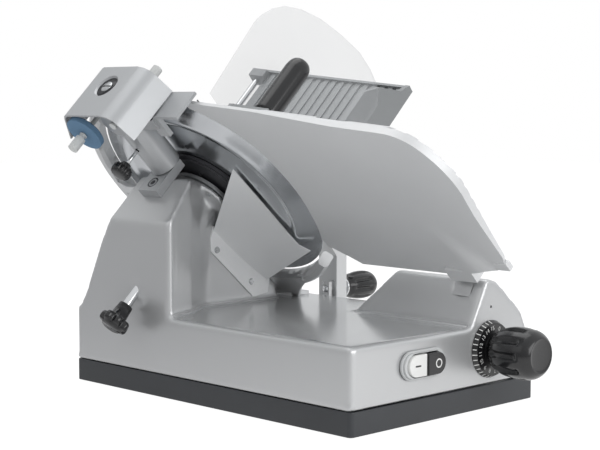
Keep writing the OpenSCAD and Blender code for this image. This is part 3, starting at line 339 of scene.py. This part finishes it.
def put(name, shape, body, slot, nodes=(), frame_turn=None, smooth=True):
    """Turns a bmesh into a piece in its place, on its body and in its material slot."""
    if frame_turn is not None:
        shape.transform(frame_turn)
    mesh = bpy.data.meshes.new(name)
    shape.to_mesh(mesh)
    shape.free()
    if "custom_normal" in mesh.attributes:
        mesh.attributes.remove(mesh.attributes["custom_normal"])
    if smooth:
        mesh.shade_smooth()
    else:
        mesh.shade_flat()
    piece = bpy.data.objects.new(name, mesh)
    bpy.context.scene.collection.objects.link(piece)
    mesh.materials.clear()
    mesh.materials.append(finish_of(slot))
    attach(piece, body)
    if nodes:
        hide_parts(*nodes)
    return piece


def body_of(node):
    """The body of the record that a node belongs to."""
    for body, nodes in frame["record"]["behaviour"]["bodies"].items():
        if node in nodes:
            return body
    raise ValueError(node)


def slot_of(node):
    """The material slot that the record gives a node."""
    return next(part["material_slot"] for part in frame["record"]["subparts"] if part["node"] == node)


def refinish(name, slot):
    """Gives a piece another material slot than its node's, and returns the piece."""
    piece = bpy.data.objects[name]
    piece.data.materials.clear()
    piece.data.materials.append(finish_of(slot))
    return piece


def merged_copy(node, flat_angle=0.4):
    """A copy of a solid with its corners merged and its flat faces joined."""
    shape = bmesh.new()
    shape.from_mesh(NODES[node].data)
    bmesh.ops.remove_doubles(shape, verts=shape.verts, dist=WELD)
    if flat_angle:
        bmesh.ops.dissolve_limit(shape, angle_limit=math.radians(flat_angle), use_dissolve_boundaries=False,
                                 verts=shape.verts, edges=shape.edges)
    return shape


def even_flats(piece):
    """Lets the flats of a piece look flat in the light."""
    even = piece.modifiers.new("even_flats", "WEIGHTED_NORMAL")
    even.keep_sharp = False


def finish_edges(piece, width, segments=2, angle=38):
    """Breaks the sharp edges of a piece by a width in mm and keeps its flats flat."""
    broken = piece.modifiers.new("broken_edges", "BEVEL")
    broken.width = width / 1000
    broken.segments = segments
    broken.limit_method = "ANGLE"
    broken.angle_limit = math.radians(angle)
    broken.use_clamp_overlap = True
    even_flats(piece)
    return piece


def softened(node, width, segments=2):
    """The node's own form with its edges broken, as the real casting has."""
    piece = put(node + "_finished", merged_copy(node), body_of(node), slot_of(node), (node,))
    return finish_edges(piece, width, segments)


def flow(points, steps):
    """A smooth line through the points of a profile."""
    line = []
    for i in range(len(points) - 1):
        a, b = Vector(points[i]), Vector(points[i + 1])
        before = Vector(points[i - 1]) if i else a
        after = Vector(points[i + 2]) if i + 2 < len(points) else b
        for step in range(steps):
            t = step / steps
            line.append(0.5 * ((2 * a) + (b - before) * t + (2 * before - 5 * a + 4 * b - after) * t * t
                               + (3 * a - before - 3 * b + after) * t ** 3))
    line.append(Vector(points[-1]))
    return line


def lathe(profile, steps):
    """Spins a profile of (radius, height) in mm round its z axis."""
    shape = bmesh.new()
    corners = [shape.verts.new(mm(max(r, 0.0), 0, h)) for r, h in profile]
    for first, second in zip(corners, corners[1:]):
        shape.edges.new((first, second))
    bmesh.ops.spin(shape, geom=shape.verts[:] + shape.edges[:], cent=(0, 0, 0), axis=(0, 0, 1),
                   angle=2 * math.pi, steps=steps, use_merge=True, use_duplicate=False)
    bmesh.ops.remove_doubles(shape, verts=shape.verts, dist=WELD)
    bmesh.ops.recalc_face_normals(shape, faces=shape.faces)
    return shape


def prism(outline, low, high):
    """A flat outline in mm, raised from one height to another."""
    shape = bmesh.new()
    face = shape.faces.new([shape.verts.new(mm(x, y, low)) for x, y in outline])
    raised = bmesh.ops.extrude_face_region(shape, geom=[face])
    bmesh.ops.translate(shape, vec=mm(0, 0, high - low),
                        verts=[item for item in raised["geom"] if isinstance(item, bmesh.types.BMVert)])
    bmesh.ops.recalc_face_normals(shape, faces=shape.faces)
    return shape


def block(shape, low, high):
    """Adds a box, given by two corners in mm, to a shape."""
    made = bmesh.ops.create_cube(shape, size=1.0)
    for vert in made["verts"]:
        vert.co = Vector((low[i] if vert.co[i] < 0 else high[i]) / 1000 for i in range(3))


def smoothstep(value, low, high):
    """Rises softly from 0 at low to 1 at high."""
    t = min(max((value - low) / (high - low), 0.0), 1.0)
    return t * t * (3 - 2 * t)


def split(shape, place, out, clear=False):
    """Cuts a shape through by a plane, and clears what lies past it if asked."""
    return bmesh.ops.bisect_plane(shape, geom=shape.verts[:] + shape.edges[:] + shape.faces[:],
                                  plane_co=place, plane_no=out, clear_outer=clear)


def cut_cap(shape, place, out):
    """Cuts away what lies past a plane and closes the cut."""
    made = split(shape, place, out, True)
    rims = [item for item in made["geom_cut"] if isinstance(item, bmesh.types.BMEdge)]
    bmesh.ops.holes_fill(shape, edges=rims, sides=0)


# Operators


class SLICER_PG_stage(bpy.types.PropertyGroup):
    """Light and floor round the object."""

    floor_colour: bpy.props.FloatVectorProperty(
        name="Floor colour", description="Colour of the plain floor", subtype="COLOR", size=3,
        default=(0.9, 0.9, 0.9), min=0, max=1)
    key_power: bpy.props.FloatProperty(
        name="Key light", description="Power of the large soft light in front",
        default=10.0, min=0, unit="POWER")
    side_power: bpy.props.FloatProperty(
        name="Side light", description="Power of the soft light on the left",
        default=1.5, min=0, unit="POWER")
    top_power: bpy.props.FloatProperty(
        name="Top light", description="Power of the soft light above", default=9.0, min=0, unit="POWER")


class SLICER_PG_shapes(bpy.types.PropertyGroup):
    """Fine sizes of the dressed pieces."""

    skin_grain: bpy.props.FloatProperty(
        name="Skin grain", description="Size of the facets of the housing's cast skin", default=0.0033,
        min=0.0025, max=0.006, unit="LENGTH")
    skin_softness: bpy.props.IntProperty(
        name="Skin softness", description="How often the housing's ridges are rubbed down",
        default=6, min=1, max=16)
    broken_edge: bpy.props.FloatProperty(
        name="Broken edge", description="Width of the broken edges of cast pieces, in millimetres",
        default=1.1, min=0.2, max=2.5)
    flute_depth: bpy.props.FloatProperty(
        name="Flute depth", description="Depth of the flutes in the black knobs, as a part of their radius",
        default=0.16, min=0.02, max=0.2, subtype="FACTOR")
    numeral_size: bpy.props.FloatProperty(
        name="Numeral size", description="Height of the dial's numerals",
        default=0.0072, min=0.003, max=0.008, unit="LENGTH")


class SLICER_OT_finishes(bpy.types.Operator):
    """Gives every carried-over solid the finish of its material slot"""
    bl_idname = "slicer.finishes"
    bl_label = "Finishes"

    def execute(self, context):
        for part in frame["record"]["subparts"]:
            solid = NODES[part["node"]]
            solid.data.materials.clear()
            solid.data.materials.append(finish_of(part["material_slot"]))
        return {"FINISHED"}


class SLICER_OT_housing(bpy.types.Operator):
    """Makes the housing's cast skin, with rubbed ridges and soft inner corners"""
    bl_idname = "slicer.housing"
    bl_label = "Housing"

    def execute(self, context):
        sizes = context.scene.slicer_shapes
        casting = merged_copy("base_housing", 0)
        plug = lathe([(0, PLUG_START), (PLUG_R, PLUG_START), (PLUG_R, PLUG_END), (0, PLUG_END)], 48)
        plug.transform(BLADE_FRAME)
        cut_cap(plug, mm(-161.5, 0, 0), Vector((-1, 0, 0)))
        filled = bpy.data.meshes.new("plug")
        plug.to_mesh(filled)
        plug.free()
        casting.from_mesh(filled)
        bpy.data.meshes.remove(filled)
        rough = put("housing_skin", casting, "base", "housing", ("base_housing",))
        grains = rough.modifiers.new("grains", "REMESH")
        grains.mode = "VOXEL"
        grains.voxel_size = sizes.skin_grain
        grains.use_smooth_shade = True
        context.view_layer.update()
        grained = bpy.data.meshes.new_from_object(rough.evaluated_get(context.evaluated_depsgraph_get()))
        rough.modifiers.remove(grains)
        skin = bmesh.new()
        skin.from_mesh(grained)
        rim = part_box("plinth")[1][2] + UNRUBBED_RIM
        for _ in range(sizes.skin_softness):
            rubbed = [vert for vert in skin.verts if vert.co.z > rim]
            bmesh.ops.smooth_vert(skin, verts=rubbed, factor=0.5,
                                  use_axis_x=True, use_axis_y=True, use_axis_z=True)
        old = rough.data
        skin.to_mesh(grained)
        skin.free()
        grained.materials.clear()
        grained.materials.append(finish_of("housing"))
        grained.shade_smooth()
        rough.data = grained
        bpy.data.meshes.remove(old)
        walls = bmesh.new()
        block(walls, (-351.5, -200, -21), (-330, -128, -19.2))
        block(walls, (-330.6, -200, -21), (-329.2, -128, 8))
        block(walls, (-352.3, -200, -21), (-350.9, -128, 8))
        cut_cap(walls, BLADE_FRAME.inverted() @ Vector((0.0445, 0, 0.1)),
                BLADE_FRAME.to_3x3().inverted() @ Vector((-0.891, 0, 0.454)))
        put("slot_walls", walls, "base", "housing", (), BLADE_FRAME, smooth=False)
        # Painted shade: a thin black disc on the front face stands in for the shade inside the small recessed
        # index dot; no recess is cut.
        dot = lathe([(0, 0), (1.6, 0), (1.6, 0.25), (0, 0.25)], 24)
        put("index_dot_painted_shade", dot, "base", "knob_black", (), Matrix.Translation((0.0783, -0.2474, 0.1228))
            @ Matrix.Rotation(math.radians(90), 4, "X"))
        return {"FINISHED"}


class SLICER_OT_blade(bpy.types.Operator):
    """Makes the blade with its ground bevel, raised ring and dished middle"""
    bl_idname = "slicer.blade"
    bl_label = "Blade"

    def execute(self, context):
        back = flow([(20.1, -10.6), (60, -10.7), (100, -10.4), (118, -9.4), (124, -9.2), (129, -10.6),
                     (133, -10.4), (140, -7.9), (150, -4.9), (159, -2.2), (164.9, -0.35)], 5)
        front = [(165, 0), (147, -1.2), (142.5, -6.9), (20.1, -7)]
        steel = lathe([tuple(point) for point in back] + front + [(20.1, -10.6)], 200)
        even_flats(put("ground_blade", steel, "blade_unit", "blade_steel", ("blade",), BLADE_FRAME))
        return {"FINISHED"}


def flute(shape, count, depth, low, high):
    """Presses rounded flutes into the side of a knob that stands on z."""
    for vert in shape.verts:
        turn = math.atan2(vert.co.y, vert.co.x) * count
        across = max(0.0, (math.cos(turn) + 0.1) / 1.1)
        along = smoothstep(vert.co.z, low, low + 0.008) * (1 - smoothstep(vert.co.z, high - 0.009, high))
        scale = 1 - depth * across ** 0.6 * along
        vert.co.x *= scale
        vert.co.y *= scale


def knob_profile(radius, length):
    """A knob's profile in mm: a narrow foot, a full belly and a slightly hollow crown."""
    belly = [(0.62, 0), (0.66, 0.07), (0.84, 0.2), (0.96, 0.38), (1, 0.58), (0.975, 0.74), (0.9, 0.87),
             (0.76, 0.955), (0.66, 0.985)]
    crown = [(0.66, 0.985), (0.56, 0.975), (0.3, 0.968), (0, 0.966)]
    rise = flow([(radius * r, length * h) for r, h in belly], 5)
    top = flow([(radius * r, length * h) for r, h in crown], 4)
    return [(0, 0)] + [tuple(point) for point in rise] + [tuple(point) for point in top[1:]]


class SLICER_OT_knobs(bpy.types.Operator):
    """Makes the black knobs: the fluted dial and lock knobs, the star knob and the grip"""
    bl_idname = "slicer.knobs"
    bl_label = "Black knobs"

    def execute(self, context):
        depth = context.scene.slicer_shapes.flute_depth
        disc = [(0, 0), (34.4, 0), (34.4, 0.6), (31.6, 5.9), (31.2, 6.0), (0, 6.0)]
        rim = put("dial_disc", lathe(disc, 160), "dial_unit", "knob_black", ("dial_knob",), DIAL_FRAME)
        finish_edges(rim, 0.15, 2, 20)
        grip = lathe(knob_profile(30.9, 69.9), 200)
        flute(grip, 10, depth, 0.010, 0.056)
        put("dial_grip", grip, "dial_unit", "knob_black", (), DIAL_FRAME @ Matrix.Translation((0, 0, 0.006)))
        lock = lathe(knob_profile(19.9, 57.8), 180)
        flute(lock, 9, depth, 0.008, 0.046)
        across = Matrix.Rotation(math.radians(90), 4, "Y")
        put("lock_grip", lock, "lock_unit", "knob_black", ("lock_knob",),
            Matrix.Translation(LOCK_SEAT + Vector((0.003, 0, 0))) @ across)
        stem = lathe([(0, -33.8), (4, -33.8), (4, 0.3), (13.6, 0.3), (14, 0.7), (14, 2.6), (13.6, 3),
                      (0, 3)], 64)
        put("lock_stem", stem, "lock_unit", "chrome", (), Matrix.Translation(LOCK_SEAT) @ across)
        lobes = lathe([(0, -6), (13, -6), (14.5, -4.2), (16.8, -3.8), (18.4, -3.2), (19.6, -1.6), (20, 0.5),
                       (20, 3.5), (19.6, 5.6), (18.4, 7.2), (16.8, 7.8), (11, 8), (10.8, 9), (9.2, 27.8),
                       (0, 27.9)], 210)
        for vert in lobes.verts:
            reach = math.hypot(vert.co.x, vert.co.y)
            if reach > 0.0125:
                wave = 0.5 - 0.5 * math.cos(math.atan2(vert.co.y, vert.co.x) * 7)
                scale = 1 - 0.27 * wave ** 1.6 * smoothstep(reach, 0.0125, 0.0195)
                vert.co.x *= scale
                vert.co.y *= scale
        put("star_grip", lobes, "tie_rod_unit", "knob_black", ("star_knob",),
            BLADE_FRAME @ Matrix.Translation((0, 0, -0.23295)))
        side = flow([(13, 0), (15, 1.5), (15.5, 5), (15.5, 30), (15.5, 66), (15.2, 76), (13.2, 84),
                     (8.6, 88.6), (0, 89.9)], 5)
        hold = lathe([(0, -20), (4, -20), (4, 0), (13, 0)] + [tuple(point) for point in side], 96)
        put("hand_grip", hold, "table_unit", "knob_black", ("grip",),
            TABLE_FRAME @ Matrix.Translation(mm(-140, 124, 27)))
        return {"FINISHED"}


def letter(text, size, place):
    """A raised numeral or sign as a mesh."""
    curve = bpy.data.curves.new("sign", "FONT")
    curve.body = text
    curve.size = size
    curve.align_x = "CENTER"
    curve.align_y = "CENTER"
    curve.extrude = 0.00012
    holder = bpy.data.objects.new("sign", curve)
    bpy.context.scene.collection.objects.link(holder)
    bpy.context.view_layer.update()
    mesh = bpy.data.meshes.new_from_object(holder.evaluated_get(bpy.context.evaluated_depsgraph_get()))
    bpy.data.objects.remove(holder)
    bpy.data.curves.remove(curve)
    mesh.transform(place)
    return mesh


def pill(half_long, half_high, steps=20):
    """A pill's outline in mm, with half circles at both ends."""
    side = half_long - half_high
    outline = []
    for end, start in ((1, -90), (-1, 90)):
        for i in range(steps + 1):
            a = math.radians(start + 180 * i / steps)
            outline.append((end * side + half_high * math.cos(a), half_high * math.sin(a)))
    return outline


def half_pill(side, near, half_long, half_high):
    """One end of a pill with a straight edge in the middle."""
    ends = [(x, y) for x, y in pill(half_long, half_high) if x * side > near + 1]
    edge = [(side * near, -half_high), (side * near, half_high)]
    return ends + (edge[::-1] if side > 0 else edge)


class SLICER_OT_switch(bpy.types.Operator):
    """Makes the twin push switch: an open frame with two half round keys side by side"""
    bl_idname = "slicer.switch"
    bl_label = "Twin push switch"

    def execute(self, context):
        rim = prism(pill(37, 16.5), 0, 3.6)
        raised = prism(pill(35, 14.5), 3.4, 6.5)
        cut = prism(pill(30.4, 13.1), 1.0, 9)
        for shape, name, nodes in ((rim, "switch_rim", ("switch_bezel",)), (raised, "switch_frame", ())):
            piece = put(name, shape, "base", "bezel_grey", nodes, SWITCH_FRAME)
            cut_hole(piece, cut.copy(), SWITCH_FRAME)
            finish_edges(piece, 0.8, 3, 30)
        cut.free()
        for side, top, body, slot, node in ((-1, 9.45, "on_unit", "button_white", "on_button"),
                                            (1, 11.45, "off_unit", "button_black", "off_button")):
            key = prism(half_pill(side, KEY_GAP, 29.8, 12.6), -1.5, top)
            finish_edges(put(node + "_key", key, body, slot, (node,), SWITCH_FRAME), 1.0, 4, 30)
        return {"FINISHED"}


class SLICER_OT_signs(bpy.types.Operator):
    """Prints the dial's numerals and lines and the two signs of the switch"""
    bl_idname = "slicer.signs"
    bl_label = "Dial and switch signs"

    def execute(self, context):
        size = context.scene.slicer_shapes.numeral_size
        marks = bmesh.new()
        for number in range(DIAL_NUMBERS):
            angle = math.radians(ZERO_TURN - NUMERAL_STEP * number)
            turn = Matrix.Rotation(angle - math.radians(90), 4, "Z")
            mesh = letter(str(number), size, turn @ Matrix.Translation((0, NUMERAL_R, 0.00606)))
            marks.from_mesh(mesh)
            bpy.data.meshes.remove(mesh)
        tilt = Matrix.Rotation(RIM_SLOPE, 4, "X")
        for line in range(DIAL_LINES):
            length = 0.0060 if line % 2 == 0 else 0.0048
            made = bmesh.ops.create_cube(marks, size=1.0)["verts"]
            for vert in made:
                vert.co = Vector((vert.co.x * 0.0011, vert.co.y * length, vert.co.z * 0.0003))
            turn = Matrix.Rotation(math.radians(ZERO_TURN - 90 - LINE_STEP * line), 4, "Z")
            place = turn @ Matrix.Translation((0, 0.0330, 0.0033))
            bmesh.ops.transform(marks, matrix=place @ tilt, verts=made)
        put("dial_marks", marks, "dial_unit", "button_white", (), DIAL_FRAME, smooth=False)
        bar = bmesh.new()
        block(bar, (-20.6, -0.9, 9.45), (-11.4, 0.9, 9.62))
        put("on_sign", bar, "on_unit", "button_black", (), SWITCH_FRAME, smooth=False)
        ring = lathe([(3.9, 11.45), (5.4, 11.45), (5.4, 11.62), (3.9, 11.62), (3.9, 11.45)], 48)
        put("off_sign", ring, "off_unit", "button_white", (),
            SWITCH_FRAME @ Matrix.Translation((0.0172, 0, 0)), smooth=False)
        return {"FINISHED"}


def gauge_outline():
    """The plate's outline in mm, with the arc that clears the blade."""
    first, last = Vector((-78, 158)), Vector((-150, -98))
    sweep = flow([(-340, 122), (-372, 117.6), (-386, 114.6), (-399, 108.6), (-411, 98.6), (-421.5, 83),
                  (-430, 64), (-434.5, 46), (-436.4, 26), (-434.5, 0), (-428, -90)], 4)
    corners = [(-78, 158)] + [tuple(point) for point in sweep] + [
        (-421, -107), (-408, -114), (-388, -114), (-326, -130), (-186, -129), (-168, -114), (-150, -98)]
    along = first - last
    a, b, c = along.dot(along), 2 * last.dot(along), last.dot(last) - BLADE_CLEAR_R ** 2
    root = math.sqrt(b * b - 4 * a * c)
    enter, leave = ((last + along * ((-b + sign * root) / (2 * a))) for sign in (-1, 1))
    low, high = (math.atan2(p.y, p.x) % (2 * math.pi) for p in (enter, leave))
    turns = [low + (high - low) * i / 48 for i in range(49)]
    return corners + [(BLADE_CLEAR_R * math.cos(turn), BLADE_CLEAR_R * math.sin(turn)) for turn in turns]


def crease(point, start, end, softness):
    """How far a point in mm lies to the right of the line from start to end, with a soft start."""
    line = (end - start).normalized()
    away = (point.x - start.x) * line.y - (point.y - start.y) * line.x
    return math.sqrt(away * away + softness * softness) * 0.5 + away * 0.5 - softness * 0.5


class SLICER_OT_gauge_plate(bpy.types.Operator):
    """Makes the thickness plate: a casting with a ribbed front, a creased back and a rounded rim"""
    bl_idname = "slicer.gauge_plate"
    bl_label = "Thickness plate"

    def execute(self, context):
        plate = prism(gauge_outline(), -12.4, -2.4)
        for x in range(-432, -80, 8):
            split(plate, mm(x + 0.3, 0, 0), (1, 0, 0))
        for y in range(-124, 158, 8):
            split(plate, mm(0, y + 0.3, 0), (0, 1, 0))
        for vert in plate.verts:
            if vert.co.z > -0.0120:
                continue
            here = Vector((vert.co.x, vert.co.y)) * 1000
            sunk = 0.055 * crease(here, Vector((-175, -68)), Vector((-311, 129)), 10)
            sunk += 0.075 * crease(here, Vector((-420, -14)), Vector((-207, -32)), 8)
            facet = min(crease(here, Vector((-354, -34)), Vector((-330, -124)), 2) * 0.16,
                        crease(here, Vector((-398, -100)), Vector((-354, -34)), 2) * 0.3)
            sunk = min(sunk, 5.5) - min(facet, 5.0)
            vert.co.z += min(max(sunk, 0.0), 6.0) / 1000
        body = put("plate_casting", plate, "gauge_unit", "gauge_alloy", ("gauge_plate",), BLADE_FRAME)
        finish_edges(body, 3.4, 5, 42)
        ribs = bmesh.new()
        for rib in RIBS:
            low, high = rib_sides(rib)
            block(ribs, (-450, low, -2.6), (-60, high, -0.75))
        trim(ribs)
        block(ribs, (-428, -112, -8), (-410, -100, -0.5))
        block(ribs, (-368, -137, -11), (-328, -117, -2.3))
        block(ribs, (-368, -137, -3), (-328, -130.5, 7))
        finish_edges(put("plate_ribs", ribs, "gauge_unit", "gauge_alloy", (), BLADE_FRAME), 0.5)
        dust = bmesh.new()
        block(dust, (-13, -3, 0.05), (13, 18.5, 0.35))
        finish_edges(put("slot_cover", dust, "gauge_unit", "housing", (), SLOPE_FRAME), 0.1)
        return {"FINISHED"}


def rib_sides(rib):
    """The low and the high side of a rib, in mm."""
    return rib * RIB_PITCH - 6, rib * RIB_PITCH + 4.2


def rib_ends():
    """For each rib, its low and high side and where it ends short of the blade."""
    for rib in RIBS:
        low, high = rib_sides(rib)
        outer = max(abs(low), abs(high))
        inner = min(abs(low), abs(high)) if low * high > 0 else 0.0
        limit = -math.sqrt(max(BLADE_CLEAR_R ** 2 - inner ** 2, 0)) - 0.6
        if outer > 126:
            limit = min(limit, -90 - (outer - 126) * 0.3)
        yield low, high, limit


def trim(shape):
    """Cuts the ribs back to the convex part of the plate's outline and to the arc round the blade."""
    hull = [(-384, 116), (-399, 109), (-411, 98), (-421, 83), (-434, 50), (-437, 30), (-434, 0), (-428, -90),
            (-421, -107), (-408, -114), (-388, -114)]
    for (x0, y0), (x1, y1) in zip([(-78, 158)] + hull[:-1], hull):
        out = Vector((-(y1 - y0), x1 - x0, 0)) * -1
        if out.dot(Vector((x0 + 250, y0, 0))) < 0:
            out = -out
        cut_cap(shape, mm(x0, y0, 0), out)
    for low, high, edge in rib_ends():
        for vert in shape.verts:
            if low - 0.5 < vert.co.y * 1000 < high + 0.5 and vert.co.x > -0.2:
                vert.co.x = edge / 1000


def cut_hole(piece, cutter, place):
    """Cuts a hole through a piece with a solid, and keeps the result as the piece's own mesh."""
    cutter.transform(place)
    mesh = bpy.data.meshes.new("cutter")
    cutter.to_mesh(mesh)
    cutter.free()
    tool = bpy.data.objects.new("cutter", mesh)
    bpy.context.scene.collection.objects.link(tool)
    hole = piece.modifiers.new("hole", "BOOLEAN")
    hole.operation = "DIFFERENCE"
    hole.solver = "EXACT"
    hole.object = tool
    for other in list(piece.modifiers):
        if other != hole:
            other.show_viewport = False
    bpy.context.view_layer.update()
    made = bpy.data.meshes.new_from_object(piece.evaluated_get(bpy.context.evaluated_depsgraph_get()))
    old = piece.data
    piece.modifiers.remove(hole)
    for other in piece.modifiers:
        other.show_viewport = True
    piece.data = made
    bpy.data.meshes.remove(old)
    bpy.data.objects.remove(tool)
    bpy.data.meshes.remove(mesh)


class SLICER_OT_castings(bpy.types.Operator):
    """Breaks the edges of the cast, machined and sheet pieces"""
    bl_idname = "slicer.castings"
    bl_label = "Cast and sheet pieces"

    def execute(self, context):
        edge = context.scene.slicer_shapes.broken_edge
        for node in ("ring_guard", "carriage_arm", "carriage_foot", "sharpener_body", "sharpener_clamp"):
            softened(node, edge, 3)
        for node in ("product_table", "pusher_arm", "carriage_slider", "knife_cover", "blade_hub",
                     "bearing_housing"):
            softened(node, edge * 0.5)
        for node in ("sharpener_cover", "slice_deflector", "hand_shield", "inner_push_rod", "outer_push_rod",
                     "cable_gland", "outer_stone", "inner_stone", "pusher_knob"):
            softened(node, 0.4)
        softened("plinth", 1.2)
        cover = refinish("sharpener_cover_finished", "column_alloy")
        drill = lathe([(0, -6), (15.5, -6), (15.5, -2.2), (17.5, 0.1), (17.5, 6), (0, 6)], 64)
        seat = BLADE_FRAME @ Matrix.Translation(mm(5, 209, -29)) @ Matrix.Rotation(math.radians(-90), 4, "X")
        cut_hole(cover, drill, seat)
        # Painted shade: a black disc closes the drilled recess at its floor and stands in for the shade
        # inside the recess round the screw.
        floor = lathe([(0, -2.75), (15.4, -2.75), (15.4, -2.45), (0, -2.45)], 48)
        put("cover_recess_painted_shade", floor, "sharpener_unit", "hub_black", (), seat)
        head = lathe([(0, -2.5), (8.2, -2.5), (8.2, -1.2), (7.4, -0.6), (0, -0.4)], 40)
        put("cover_screw", head, "sharpener_unit", "screw_steel", (), seat)
        # Painted shade: a thin black bar on the screw head stands in for the shade in its slot; no groove is
        # cut.
        slot = bmesh.new()
        block(slot, (-8.0, -0.9, -0.6), (8.0, 0.9, -0.3))
        put("cover_screw_slot_painted_shade", slot, "sharpener_unit", "hub_black", (), seat, smooth=False)
        lock = BLADE_FRAME @ Matrix.Translation(mm(0, 122, -97))
        stem = lathe([(0, 10), (2.4, 10), (2.4, 52), (0, 52)], 32)
        put("lock_stem_sharpener", stem, "sharpener_lock_unit", "chrome", (), lock)
        ball = lathe([(0, 0.4), (8, 0), (11.6, 1.2), (12.9, 3.4), (13, 9.6), (12, 12.4), (9, 13.4), (7, 15),
                      (6, 18.5), (3, 19), (0, 19)], 140)
        flute(ball, 14, 0.1, -0.004, 0.02)
        put("lock_ball", ball, "sharpener_lock_unit", "knob_black", ("sharpener_lock",), lock)
        refinish("inner_stone_finished", "cast_grey")
        top = BLADE_FRAME @ Matrix.Translation(mm(0, 75.7, -66)) @ Matrix.Rotation(math.radians(-90), 4, "X")
        # Painted shade: a thin black disc under the grey ring stands in for the shade in the clamp's socket
        # and round its head; nothing is cut.
        socket = lathe([(0, -0.3), (7.6, -0.3), (7.6, 0.12), (0, 0.12)], 40)
        put("clamp_socket_painted_shade", socket, "base", "hub_black", (), top)
        ring = lathe([(3.6, 0), (6.4, 0), (6.4, 0.3), (3.6, 0.3), (3.6, 0)], 40)
        put("clamp_head_ring", ring, "base", "cast_grey", (), top)
        return {"FINISHED"}


def soft_light(name, place, aim, size, power):
    """Adds a large lamp that looks from its place at its aim."""
    lamp = bpy.data.lights.new(name, "AREA")
    lamp.shape = "RECTANGLE"
    lamp.size, lamp.size_y = size
    lamp.energy = power
    holder = bpy.data.objects.new(name, lamp)
    holder.location = place
    holder.rotation_euler = (Vector(aim) - Vector(place)).to_track_quat("-Z", "Y").to_euler()
    bpy.context.scene.collection.objects.link(holder)


class SLICER_OT_stage(bpy.types.Operator):
    """Adds the pale floor, the soft lights, the backdrop colour and the camera"""
    bl_idname = "slicer.stage"
    bl_label = "Stage"

    def execute(self, context):
        setup = context.scene.slicer_stage
        sheet = bmesh.new()
        bmesh.ops.create_grid(sheet, x_segments=1, y_segments=1, size=6)
        mesh = bpy.data.meshes.new("floor")
        sheet.to_mesh(mesh)
        sheet.free()
        floor = bpy.data.objects.new("floor", mesh)
        context.scene.collection.objects.link(floor)
        paint = Paint("pale_floor")
        plain = paint.node("ShaderNodeBsdfDiffuse", None, {"Color": tuple(setup.floor_colour)})
        glow = paint.node("ShaderNodeEmission", None, {"Color": (1, 1, 1), "Strength": 1.16})
        seen = paint.node("ShaderNodeLightPath", out="Is Camera Ray")
        shown = paint.node("ShaderNodeLightPath", out="Is Glossy Ray")
        away = paint.node("ShaderNodeVectorMath", {"operation": "DISTANCE"},
                          {0: paint.place(), 1: GLOW_CENTRE}, out="Value")
        near = paint.fit(away, *GLOW_RANGE, 0.9, 0.0)
        lit = paint.node("ShaderNodeMixShader", None, {0: seen * 0.84 + shown * near, 1: plain, 2: glow})
        dusk = paint.node("ShaderNodeEmission", None, {"Color": (0.36, 0.36, 0.37), "Strength": 1.0})
        mix = paint.node("ShaderNodeMixShader", None, {0: shown * (1 - near) * 0.9, 1: lit, 2: dusk})
        paint.node("ShaderNodeOutputMaterial", None, {"Surface": mix})
        mesh.materials.append(paint.owner)

        world = bpy.data.worlds.new("studio")
        context.scene.world = world
        studio = Paint("studio", world)
        way = studio.node("ShaderNodeTexCoord", out="Generated")
        lean = studio.node("ShaderNodeVectorMath", {"operation": "DOT_PRODUCT"},
                           {0: way, 1: (0.5, -0.1, 0.75)}, out="Value")
        tent = studio.node("ShaderNodeBackground", None, {
            "Color": (0.97, 0.985, 1.0), "Strength": studio.fit(lean, -0.9, 0.9, 0.2, 0.95)})
        white = studio.node("ShaderNodeBackground", None, {"Color": (1, 1, 1), "Strength": 1.0})
        seen = studio.node("ShaderNodeLightPath", out="Is Camera Ray")
        through = studio.node("ShaderNodeLightPath", out="Is Transmission Ray")
        glossy = studio.node("ShaderNodeLightPath", out="Is Glossy Ray")
        share = studio.fit(seen + through + glossy * 0.12, 0.0, 1.0)
        studio.node("ShaderNodeOutputWorld", None, {
            "Surface": studio.node("ShaderNodeMixShader", None, {0: share, 1: tent, 2: white})})

        soft_light("key_light", (-0.1, -1.9, 0.7), (0, 0, 0.15), (1.5, 0.9), setup.key_power)
        soft_light("side_light", (-1.9, 0.1, 1.2), (0, 0, 0.2), (1.2, 1.2), setup.side_power)
        soft_light("top_light", (0.1, 0.4, 2.1), (0, 0, 0.2), (1.6, 1.6), setup.top_power)

        lens = bpy.data.cameras.new("photo_view")
        lens.sensor_width = SENSOR_MM
        lens.lens = SENSOR_MM * FOCAL_PIXELS / PHOTO_PIXELS
        lens.clip_start = 0.05
        camera = bpy.data.objects.new("photo_view", lens)
        camera.location = CAMERA_PLACE
        camera.rotation_euler = (math.radians(90 - CAMERA_DIP), 0, math.radians(CAMERA_TURN))
        context.scene.collection.objects.link(camera)
        context.scene.camera = camera
        context.scene.view_settings.view_transform = "Standard"
        return {"FINISHED"}


class SLICER_PT_panel(bpy.types.Panel):
    """The slicer's operators and sizes in the sidebar"""
    bl_label = "Slicer"
    bl_idname = "SLICER_PT_panel"
    bl_space_type = "VIEW_3D"
    bl_region_type = "UI"
    bl_category = "Slicer"

    def draw(self, context):
        for step in STEPS:
            self.layout.operator(step.bl_idname)
        for group, holder in GROUPS.items():
            for key in group.__annotations__:
                self.layout.prop(getattr(context.scene, holder), key)


STEPS = (SLICER_OT_finishes, SLICER_OT_housing, SLICER_OT_blade, SLICER_OT_knobs, SLICER_OT_switch,
         SLICER_OT_signs, SLICER_OT_gauge_plate, SLICER_OT_castings, SLICER_OT_stage)
GROUPS = {SLICER_PG_stage: "slicer_stage", SLICER_PG_shapes: "slicer_shapes"}


def register():
    for group, key in GROUPS.items():
        bpy.utils.register_class(group)
        setattr(bpy.types.Scene, key, bpy.props.PointerProperty(type=group))
    for item in (*STEPS, SLICER_PT_panel):
        bpy.utils.register_class(item)


def unregister():
    for item in (SLICER_PT_panel, *reversed(STEPS)):
        bpy.utils.unregister_class(item)
    for group, key in GROUPS.items():
        delattr(bpy.types.Scene, key)
        bpy.utils.unregister_class(group)


def main():
    register()
    for step in STEPS:
        space, name = step.bl_idname.split(".")
        getattr(getattr(bpy.ops, space), name)()


if __name__ == "__main__":
    main()
